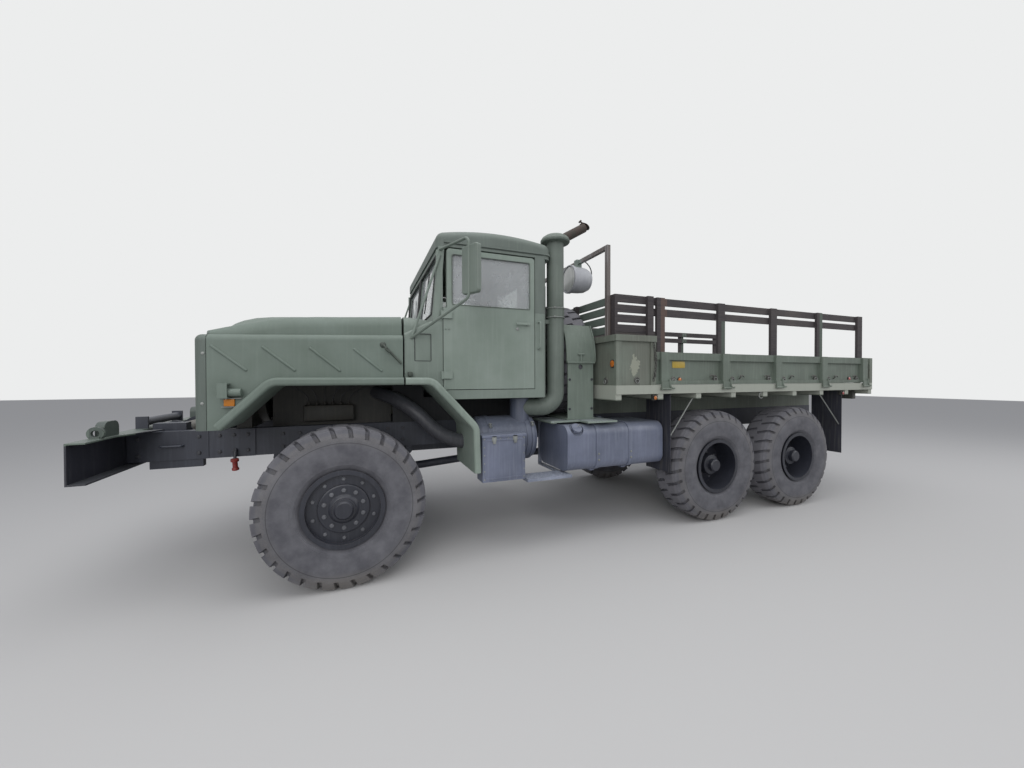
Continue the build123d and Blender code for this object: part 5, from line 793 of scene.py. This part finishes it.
def cushion(name, middle, half, facing, channels):
    """A stuffed pad that faces one way: rounded, crowned on its face, its sides pulled in between
    the corners, sewn down along its channels, with a piped seam round the face."""
    turn = outward(middle, facing)

    def stuffed(point):
        point = point / sum(abs(c) ** 8 for c in point) ** 0.125
        x, y, z = point
        swell = SWELL * (1 - x * x) * (1 - y * y) if z > 0 else 0.0
        sewn = sum(math.exp(-((y - c) * half[1] / SEAM_HALF) ** 2) for c in channels) if z > 0 else 0.0
        reach = (half[0] * x * (1 - 0.05 * (1 - y * y)), half[1] * y * (1 - 0.04 * (1 - x * x)))
        return turn @ Vector((*reach, half[2] * z + swell - SEAM_DEPTH * sewn * (1 - x ** 6)))

    bm = bmesh.new()
    bmesh.ops.create_cube(bm, size=2.0)
    bmesh.ops.subdivide_edges(bm, edges=bm.edges[:], cuts=35, use_grid_fill=True)
    for v in bm.verts:
        v.co = stuffed(v.co.copy())
    pad = shape(name, bm, canvas, "chassis", "seat_canvas")
    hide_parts("seats")
    steps = [-1 + k / 6 for k in range(12)]
    walk = [(1.0, s) for s in steps] + [(-s, 1.0) for s in steps]
    walk += [(-1.0, -s) for s in steps] + [(s, -1.0) for s in steps]
    seam = [stuffed(Vector((x, y, PIPING_Z))) for x, y in walk]
    tube(name + "_piping", seam, 0.005, canvas, "chassis", "seat_canvas", closed=True)


SEATS = (("driver", 0.480, 0.230, (-0.34, 0.34)), ("bench", -0.515, 0.365, (-0.5, 0.0, 0.5)))
for name, y, half_y, channels in SEATS:
    cushion(name + "_seat_cushion", (1.140, y, 1.738), (0.235, half_y, 0.058), UP, channels)
    cushion(name + "_back_cushion", (0.908, y, 2.054), (0.246, half_y, 0.052), AHEAD, channels)
coat(black, "seat_frames")

# Dashboard and steering wheel: a green pressed board with a black gauge panel, and a hard black
# moulded rim on a splined column.
moulded = enamel("moulded_plastic_black", "222325 4c4c4a 1b1c1e 39373a", rough=0.42, dust=0.3, chips=0.05)
coat(green, "dashboard")
coat(moulded, "steering_wheel")
gauge_glass, tree, place = new_material("gauge_faces")
marks = mix(tree, noise(tree, place, 60.0, 3.0), "141517", "33352f")
surface(tree, marks, 0.08, {"Coat Weight": 0.8})
BOARD_X = 1.715
board = ((BOARD_X - 0.006, 0.24, 1.945), (BOARD_X + 0.002, 0.72, 2.065), 0.003)
blocks("gauge_panel", [board], moulded, "chassis", "wheel_plastic")
dial = mm("0 0, 36 0, 36 6, 30 8, 30 5, 0 5")
bm = bmesh.new()
for i in range(5):
    lathe(bm, dial, outward((BOARD_X - 0.006, 0.29 + i * 0.095, 2.015), BACK), 28)
shape("gauges", bm, gauge_glass, "chassis", "lamp_glass")

# Mirrors: green moulded heads on bent tube arms, with silvered glass set in a rubber lip.
# The glass is spotted where its silver has aged.
mirror_green = enamel("mirror_enamel_green", "6c766e 8a938c 5c675f 3b3a33", rough=0.5, chips=0.5)
coat(mirror_green, "mirrors")
silvered, tree, place = new_material("silvered_mirror_glass")
spots = span(tree, noise(tree, place, 14.0, 6.0), 0.4, 0.75, 0.03, 0.25)
surface(tree, tone("c9cdcf"), spots, {"Metallic": 1.0})
MIRROR_X, MIRROR_Y, MIRROR_Z = 1.641, 1.450, 2.4525
MIRROR_TURN = math.radians(25)
for side, word in SIDES:
    place = Matrix.Translation((MIRROR_X, side * MIRROR_Y, MIRROR_Z)) @ spin(side * MIRROR_TURN, "Z")
    plate = ((-0.0205, -0.078, -0.170), (-0.0185, 0.078, 0.170), 0.0008, place)
    blocks("mirror_glass_" + word, [plate], silvered, "chassis", "clear_glass")
    lip = pane(-0.080, 0.080, -0.172, 0.172, lambda y, z: place @ Vector((-0.0195, y, z)))
    seal("mirror_lip_" + word, lip, 0.022, 0.0045, "chassis")

# Intake and exhaust: a green sheet-steel snorkel with a domed rain cap and two hose clamps, and
# a steel pipe in a perforated shield, browned by heat and rust towards its mouth.
intake_green = enamel("intake_enamel_green", "626b64 7f8880 525b54 3b3a33", streaks=0.22, dust=0.45)
coat(intake_green, "intake_stack")
INTAKE_X, INTAKE_Y, CLAMP_R, CLAMP_ZS = 0.625, 0.905, 0.0955, (2.215, 2.305)
for name, z in zip(("low", "high"), CLAMP_ZS):
    ring = [(INTAKE_X + x, INTAKE_Y + y, z) for x, y in circle(CLAMP_R, 12)]
    tube("intake_clamp_" + name, ring, 0.0045, zinc, *ON_CAB, closed=True)
heads = [(INTAKE_X + 0.05, INTAKE_Y + 0.086, z) for z in CLAMP_ZS]
screws("intake_clamp_screws", heads, (0.5, 0.86, 0), 0.010, zinc, *ON_CAB)
RUST_MM = 60
scale, tree, place = new_material("exhaust_steel_scaled")
heat = span(tree, split(tree, place)[2], 2.5, 3.3, -0.08, 0.14)
amount = maths(tree, "ADD", noise(tree, place, 1000 / RUST_MM, 8.0, 0.68), heat)
rusted = put(tree, "ValToRGB", {"Fac": amount})
ramp = rusted.node.color_ramp.elements
ramp.new(0.52)
for element, position, code in zip(ramp, (0.40, 0.52, 0.66), ("2f322c", "3a3630", "413631")):
    element.position = position
    element.color = tone(code)
pitted = relief(tree, noise(tree, place, 180.0, 4.0), 0.35, 0.001)
surface(tree, rusted, 0.72, {"Metallic": 0.2, "Normal": pitted})
coat(scale, "exhaust_stack")
# Rain flap: a counterweighted disc hinged on the pipe's mouth
slope = Vector((-0.560, 0, 0.330)).normalized()
mouth = outward(Vector((0.085, 0.575, 3.310)) + slope * 0.004, slope)
FLAP_HINGE, FLAP_OPEN = 0.052, math.radians(-24)
hinge = Matrix.Translation((0, FLAP_HINGE, 0))
lid = mouth @ hinge @ spin(FLAP_OPEN, "X") @ hinge.inverted()
bm = bmesh.new()
lathe(bm, mm("0 0, 53 0, 54 2, 53 4, 0 4"), lid, 28)
slab(bm, (-0.012, 0.045, -0.002), (0.012, 0.085, 0.006), 0.002, lid)
slab(bm, (-0.018, 0.076, -0.012), (0.018, 0.092, 0.012), 0.003, lid)
slab(bm, (-0.022, 0.048, -0.02), (0.022, 0.058, 0.006), 0.002, mouth)
shape("exhaust_rain_flap", bm, scale, "chassis", "exhaust_steel")

# Spare wheel's carrier: a green steel guard with a raised rim, a ledge and a T-handled screw.
# Four bolts hold its face.
guard_green = enamel("guard_enamel_green", "707b72 8b948c 616c63 3b3a33", streaks=0.22, chips=0.6)
coat(guard_green, "spare_carrier")
GUARD_FACE_Y = 0.270 + 0.644
guard = [(x, GUARD_FACE_Y, z) for x in (0.205, 0.465) for z in (1.30, 1.60)]
bolts("guard_bolts", guard, LEFT, 0.020, bolt_steel, *ON_CAB)

# Lamp portal: square steel tube under brown-black primer, and a white work lamp with a fluted
# lens, clamped to its beam.
PRIMER, CLAMP_GREEN = "5d5653", "6d7a72"
panels = (
    (PRIMER, (-0.5, -1.2, 1.9), (0.5, 0.32, 3.0)),
    (PRIMER, (-0.5, 0.68, 1.9), (0.5, 1.2, 3.0)),
    (PRIMER, (0.08, 0.30, 2.895), (0.15, 0.70, 3.0)),
    (CLAMP_GREEN, (0.07, 0.45, 2.852), (0.2, 0.60, 3.0)),
)
paint = "acaeb3 c0c2c5 97999e 55534c"
portal_white = enamel("lamp_enamel_white", paint, rough=0.4, streaks=0.3, panels=panels)
coat(portal_white, "lamp_portal")
WORK_FLUTE_MM = 14
work_lens, tree, place = new_material("work_lamp_lens")
flute = bands(tree, place, WORK_FLUTE_MM, "Y")
tint = mix(tree, flute, "c9cbc8", "9c9f9c")
surface(tree, tint, 0.12, {"Coat Weight": 0.7, "Normal": relief(tree, flute, 0.5, 0.003)})
dome = mm("0 0, 142 0, 138 4, 100 10, 50 13.5, 0 14.5")
turned("work_lamp_lens", dome, outward((0.2345, 0.5, 2.735), AHEAD), 48, work_lens, "chassis", "lamp_glass")
cable = mm("-30 500 2735, -70 520 2780, -50 560 2880, 90 600 2925")
tube("work_lamp_cable", cable, 0.006, hose_rubber, *RUBBER, order=4)

# Cargo bed: corrugated and ribbed sheet steel, sprayed olive-green, chalky and scraped where
# loads have rubbed it. Its sill has faded paler, and one panel has lost a patch to the primer.
sill = ("989c92", (-4.2, -1.23, 1.40), (0.14, 1.23, 1.5399))
torn = ("8d9082", (-0.110, 1.21, 1.730), (0.060, 0.05, 0.125))
paint = "6b746a 898c83 5e6259 4b3f35"
bed_olive = enamel("bed_enamel_olive", paint, streaks=0.26, chips=0.8, panels=(sill,), bare=torn)
side_olive = enamel("side_enamel_olive", "657066 838a80 555e55 4b3a2e", streaks=0.3, chips=0.9)
coat(bed_olive, "cargo_bed", "tailgate")
coat(side_olive, "drop_side_left", "drop_side_right")
STAKES = (-0.531, -1.398, -2.265, -3.133, -4.000)
DROP_FACE_Y = 1.1841
ROPE_HOOK = mm("0 0 1600, 0 22 1612, 0 20 1640, -45 20 1640, -60 18 1622")
RING_HOOK = mm("45 0 1600, 45 22 1606, 45 22 1640, 80 22 1645, 93 20 1625")
STAKE_FOOT = mm("0 1237 1600, 0 1239 1555, 0 1242 1518, -30 1243 1502, -58 1242 1506")
brass = enamel("boss_steel_scuffed", "4a4b47 77776f 3a3b38 5b4a3a", rough=0.5, chips=0.9, edge_mm=1.5)


def tie_down(name, at, out, body):
    """A dished lashing point: a pressed cup with a ring that lies in it."""
    place = outward(at, out)
    cup = mm("0 0, 34 0, 34 4, 26 10, 20 10, 16 4, 0 3")
    turned(name + "_boss", cup, place, 28, brass, body, "body_green")
    ring = [place @ Vector((x, y - 0.012, 0.013 + x / 7)) for x, y in circle(0.021, 10)]
    tube(name + "_ring", ring, 0.0036, zinc, body, "body_green", closed=True)


for side, word in SIDES:
    out, drop = (0, side, 0), "drop_side_" + word
    tie_down("fixed_side_lashing_" + word, (-0.130, side * 1.2101, 1.593), out, "chassis")
    # Each bay of the drop side: a lashing ring behind the stake, a rope hook, and a ring with a
    # hook ahead of the next stake; under each stake the foot of its strap hinge
    face = side * DROP_FACE_Y
    for k, stake in enumerate(STAKES):
        if k < 4:
            tie_down("drop_side_lashing_%s_%d" % (word, k), (stake - 0.095, face, 1.595), out, drop)
        if 0 < k < 4:
            x = stake - 0.200
            hook = [(x + a, face + side * b, z) for a, b, z in ROPE_HOOK]
            tube("rope_hook_%s_%d" % (word, k), hook, 0.006, brass, drop, "body_green")
        if k:
            x = stake + 0.175
            tie_down("drop_side_ring_%s_%d" % (word, k), (x, face, 1.612), out, drop)
            hook = [(x + a, face + side * b, z) for a, b, z in RING_HOOK]
            tube("ring_hook_%s_%d" % (word, k), hook, 0.006, brass, drop, "body_green")
        foot = [(stake + a, side * y, z) for a, y, z in STAKE_FOOT]
        tube("stake_foot_%s_%d" % (word, k), foot, 0.010, side_olive, drop, "body_green", order=4)
tie_down("front_wall_lashing", (0.1131, 1.035, 1.586), AHEAD, "chassis")


def marker(name, at, out, colour, radius, body):
    """A round reflector: a black cup and a bright moulded lens."""
    place = outward(at, out)
    cup = [(0, 0), (radius, 0), (radius, 0.010), (0.88 * radius, 0.012), (0.88 * radius, 0.006), (0, 0.006)]
    turned(name + "_cup", cup, place, 28, moulded, body, "flap_rubber")
    dome = [(0, 0.005), (0.86 * radius, 0.005), (0.82 * radius, 0.012), (0.5 * radius, 0.016), (0, 0.018)]
    turned(name + "_lens", dome, place, 28, colour, body, "lamp_glass")


def lens(name, code):
    """Moulded acrylic with a fine prism pattern under a smooth face."""
    made, tree, place = new_material(name)
    prism = put(tree, "TexVoronoi", {"Vector": place, "Scale": 260.0}, "Distance")
    dark = [c * 0.55 for c in tone(code)[:3]] + [1.0]
    colour = mix(tree, prism, code, dark)
    surface(tree, colour, 0.15, {"Coat Weight": 0.8, "Normal": relief(tree, prism, 0.3, 0.001)})
    return made


amber = lens("amber_acrylic", "c8701f")
red = lens("red_acrylic", "9c2420")
marker("front_wall_marker", (0.1131, 1.154, 1.755), AHEAD, amber, 0.040, "chassis")
LAMP_FRONT_X, LAMP_REAR_X = -0.375, -3.515
LINK, LINKS = 0.026, 15
for side, word in SIDES:
    out = (0, side, 0)
    drop, face = "drop_side_" + word, side * DROP_FACE_Y
    marker("front_side_marker_" + word, (-0.708, face, 1.594), out, amber, 0.026, drop)
    marker("rear_side_marker_" + word, (-3.666, face, 1.595), out, red, 0.032, drop)
    # Small lamps on brackets under the sill, and a towing ring between them
    brackets = []
    for x in (LAMP_FRONT_X, LAMP_REAR_X):
        brackets.append(((x - 0.022, side * 1.160, 1.383), (x + 0.022, side * 1.192, 1.4515), 0.003))
    blocks("sill_lamp_brackets_" + word, brackets, brass, *ON_CAB)
    marker("sill_lamp_front_" + word, (LAMP_FRONT_X, side * 1.1922, 1.410), out, amber, 0.024, "chassis")
    marker("sill_lamp_rear_" + word, (LAMP_REAR_X, side * 1.1922, 1.408), out, red, 0.024, "chassis")
    bm = bmesh.new()
    slab(bm, (-1.985, side * 1.175, 1.432), (-1.935, side * 1.200, 1.4515), 0.004)
    torus(bm, outward((-1.960, side * 1.188, 1.405), out), 0.032, 0.007)
    shape("sill_ring_" + word, bm, zinc, *ON_CAB)
    # Locking chain in a slack loop beside its latch
    bm = bmesh.new()
    for k in range(LINKS):
        x = -0.325 - 0.030 * math.sin(math.pi * k / (LINKS - 1))
        turn = spin(math.pi / 2, "Y") @ spin(math.pi / 2 * (k % 2), "X")
        at = Matrix.Translation((x, side * 1.2325, 1.960 - k * LINK))
        torus(bm, at @ turn, 0.0105, 0.0036, stretch=1.6, turns=14, sides=6)
    shape("lock_chain_" + word, bm, brass, *ON_CAB)
    catch = ((-0.366, side * 1.2205, 1.790), (-0.338, side * 1.2325, 1.862), 0.004)
    tongue = ((-0.360, side * 1.2205, 1.620), (-0.342, side * 1.2300, 1.660), 0.004)
    blocks("lock_latch_" + word, [catch, tongue], brass, *ON_CAB)

# Rear lamps: a steel box under each rear corner with a red and an amber lens side by side on its
# face. A small flange holds it to the sill.
for side, word in SIDES:
    case = ((-4.075, side * 0.860, 1.315), (-4.000, side * 1.060, 1.435), 0.008)
    flange = ((-4.030, side * 0.880, 1.430), (-4.000, side * 1.040, 1.452), 0.003)
    blocks("rear_lamp_box_" + word, [case, flange], brass, *ON_CAB)
    for name, y, colour in (("red_", 0.912, red), ("amber_", 1.008, amber)):
        at = (-4.0752, side * y, 1.375)
        marker("rear_lamp_" + name + word, at, BACK, colour, 0.040, "chassis")

# Yellow plate on the drop side: a blank reflective panel held by four small rivets.
# It carries no text.
ON_LEFT_SIDE = ("drop_side_left", "body_green")
yellow = enamel("plate_enamel_yellow", "b59a3a c9b76a 9c8430 6f6647", rough=0.42, chips=0.2)
plate = ((-0.786, 1.1835, 1.718), (-0.612, 1.1870, 1.787), 0.0012)
blocks("blank_plate_yellow", [plate], yellow, *ON_LEFT_SIDE)
rivets = [(x, 1.1868, z) for x in (-0.776, -0.622) for z in (1.727, 1.778)]
screws("blank_plate_rivets", rivets, LEFT, 0.004, zinc, *ON_LEFT_SIDE)

# Racks: sawn hardwood slats bolted to posts, near black on the sides, partly the wood's own dark brown-violet
# paint and partly painted shade, as the side slats lie in shade; the front rack's boards were painted green
# on their faces.
GRAIN_MM = 7
wood, tree, place = new_material("rack_hardwood_dark_and_painted_shade")
drawn = put(tree, "Mapping", {"Vector": place, "Scale": (0.035, 1.0, 1.0)})
grain = noise(tree, drawn, 1000 / GRAIN_MM, 5.0, 0.62, distortion=0.6)
# Dark ground of the wood: its own dark brown-violet, and painted shade for the side slats
colour = mix(tree, span(tree, grain, 0.3, 0.72), "27242a", "46403f")
grey = span(tree, noise(tree, place, 2.2, 2.0), 0.5, 0.75, most=0.35)
colour = mix(tree, grey, colour, "5a534e")
on_front = box_mask(tree, place, (0.020, -1.13, 1.60), (0.0565, 1.13, 2.47))
forward = maths(tree, "GREATER_THAN", split(tree, put(tree, "NewGeometry", take="True Normal"))[0], 0.5)
thin = span(tree, grain, 0.25, 0.5, 0.55, 0.95)
cover = maths(tree, "MULTIPLY", maths(tree, "MULTIPLY", on_front, forward), thin)
colour = mix(tree, cover, colour, "5f6b63")
# Two posts a side were painted green, and the first has bled reddish brown from its rusting bolts
for code, x, top in (("56453f", STAKES[0], 2.5), ("515b53", STAKES[3], 2.5), ("4d564f", STAKES[1], 2.25)):
    post = box_mask(tree, place, (x - 0.056, -1.3, 1.6), (x + 0.056, 1.3, top))
    colour = mix(tree, maths(tree, "MULTIPLY", post, thin), colour, code)
rounded = put(tree, "Bevel", {"Radius": 0.003}, samples=4)
surface(tree, colour, 0.78, {"Normal": relief(tree, grain, 0.35, 0.002, Normal=rounded)})
coat(wood, "front_rack", "side_rack_left", "side_rack_right")
for side, word in SIDES:
    spots = [(x + d, z) for x in reversed(STAKES) for z in (2.412, 2.300) for d in (-0.02, 0.02)]
    heads = [(x, side * 1.1117, z) for x, z in spots]
    screws("rack_bolts_" + word, heads, (0, -side, 0), 0.009, zinc, "drop_side_" + word, "rack_wood")

# Mud flaps: black reinforced rubber sheet, grey with dried mud low down. Screws hold each by its
# top edge, and a stay rod runs from the bed down to its face.
paint = "2f313b 66645f 26272f 3d3b38"
flap_rubber = enamel("flap_rubber_black", paint, rough=0.72, streaks=0.35, dust=0.4, chips=0.05)
coat(flap_rubber, "mud_flaps")
STAYS = (("front", (-0.975, 1.448), (-0.6005, 0.970)), ("rear", (-3.060, 1.448), (-3.5195, 0.990)))
for side, word in SIDES:
    for x in (-0.595, -3.524):
        heads = [(x + 0.0042, side * (0.845 + k * 0.075), 1.47) for k in range(5)]
        screws("flap_screws_%s_%d" % (word, -x * 1000), heads, AHEAD, 0.008, zinc, *RUBBER)
    for name, top, foot in STAYS:
        ends = [Vector((x, side * 1.150, z)) for x, z in (top, foot)]
        stay = [ends[0], ends[0].lerp(ends[1], 0.5), ends[1]]
        tube("flap_stay_%s_%s" % (name, word), stay, 0.007, zinc, *RUBBER)

# Wheels: cross-country tyres with scuffed sidewalls on painted steel discs with domed hub caps.
# Road grit has browned the sidewall's widest ring, and dust sits in the ribs near the bead.
SPARE = (0.335, 0.270, 1.8243)
RIB_PITCH = 0.0085


def rubber(name, centre, axis):
    """Tyre rubber with moulded rings round its axle, scuffed where the sidewall bulges."""
    made, tree, place = new_material(name)
    flat = vectors(tree, "MULTIPLY", vectors(tree, "SUBTRACT", place, centre), axis)
    radius = vectors(tree, "LENGTH", flat, take="Value")

    def from_to(start, end, **more):
        return span(tree, radius, start, end, **more)

    def ring(inner, outer):
        """One between two pairs of radii, with soft edges."""
        rise, fall = [from_to(*pair, interpolation_type="SMOOTHSTEP") for pair in (inner, outer)]
        return maths(tree, "MULTIPLY", rise, fall)

    grit = noise(tree, place, 130.0, 4.0)
    age = span(tree, noise(tree, place, 7.0, 8.0, 0.62), 0.32, 0.7)
    colour = mix(tree, age, "4a4a50", "66666b")
    rough = span(tree, grit, 0.3, 0.7, 0.10, 0.50)
    scuffed = maths(tree, "MULTIPLY", ring((0.47, 0.54), (0.585, 0.565)), rough)
    colour = mix(tree, scuffed, colour, "716e6b")
    colour = mix(tree, from_to(0.600, 0.618, most=0.65), colour, "747378")
    low = span(tree, split(tree, place)[2], 0.16, 0.0, most=0.5)
    colour = mix(tree, low, colour, "807a70")
    off = maths(tree, "ABSOLUTE", maths(tree, "SUBTRACT", radius, 0.507))
    colour = mix(tree, span(tree, off, 0.004, 0.0015, most=0.6), colour, "26272b")
    ribs = maths(tree, "SINE", maths(tree, "MULTIPLY", radius, 2 * math.pi / RIB_PITCH))
    ridged = maths(tree, "MULTIPLY", ribs, ring((0.315, 0.325), (0.375, 0.365)))
    height = maths(tree, "MULTIPLY_ADD", grit, 0.4, ridged)
    rounded = put(tree, "Bevel", {"Radius": 0.004}, samples=4)
    surface(tree, colour, 0.78, {"Normal": relief(tree, height, 0.5, 0.002, Normal=rounded)})
    return made


rim_paint = enamel("rim_enamel_slate_black", "2c2e37 50525a 21232b 5b4c40", rough=0.42, dust=0.25, chips=0.8)
nut_steel = enamel("wheel_nut_steel_worn", "696b70 86878a 4a4b50 4b4038", rough=0.4, dust=0.2, edge_mm=1.5)
# Two rings of nuts on each wheel: their radius, the y of their seat and their width
FRONT_NUTS = ((0.143, 1.1480, 0.026), (0.2255, 1.1300, 0.022))
REAR_NUTS = ((0.143, 0.9250, 0.028), (0.2255, 0.9250, 0.020))
for axle, x in AXLES.items():
    tyre = rubber("tyre_rubber_" + axle, (x, 0, HUB_Z), (1, 0, 1))
    for side, word in SIDES:
        wheel = axle + "_" + word
        coat(tyre, "tyre_" + wheel)
        coat(rim_paint, "rim_" + wheel)
        for radius, y, across in FRONT_NUTS if axle == "front" else REAR_NUTS:
            nuts = [(x + dx, side * y, HUB_Z + dz) for dx, dz in circle(radius, 10, math.pi / 10)]
            name = "nuts_%s_%d" % (wheel, radius * 1000)
            bolts(name, nuts, (0, side, 0), across, nut_steel, "wheel_" + wheel, "chassis_black")
coat(rubber("tyre_rubber_spare", SPARE, (0, 1, 1)), "spare_tyre")
coat(rim_paint, "spare_rim")
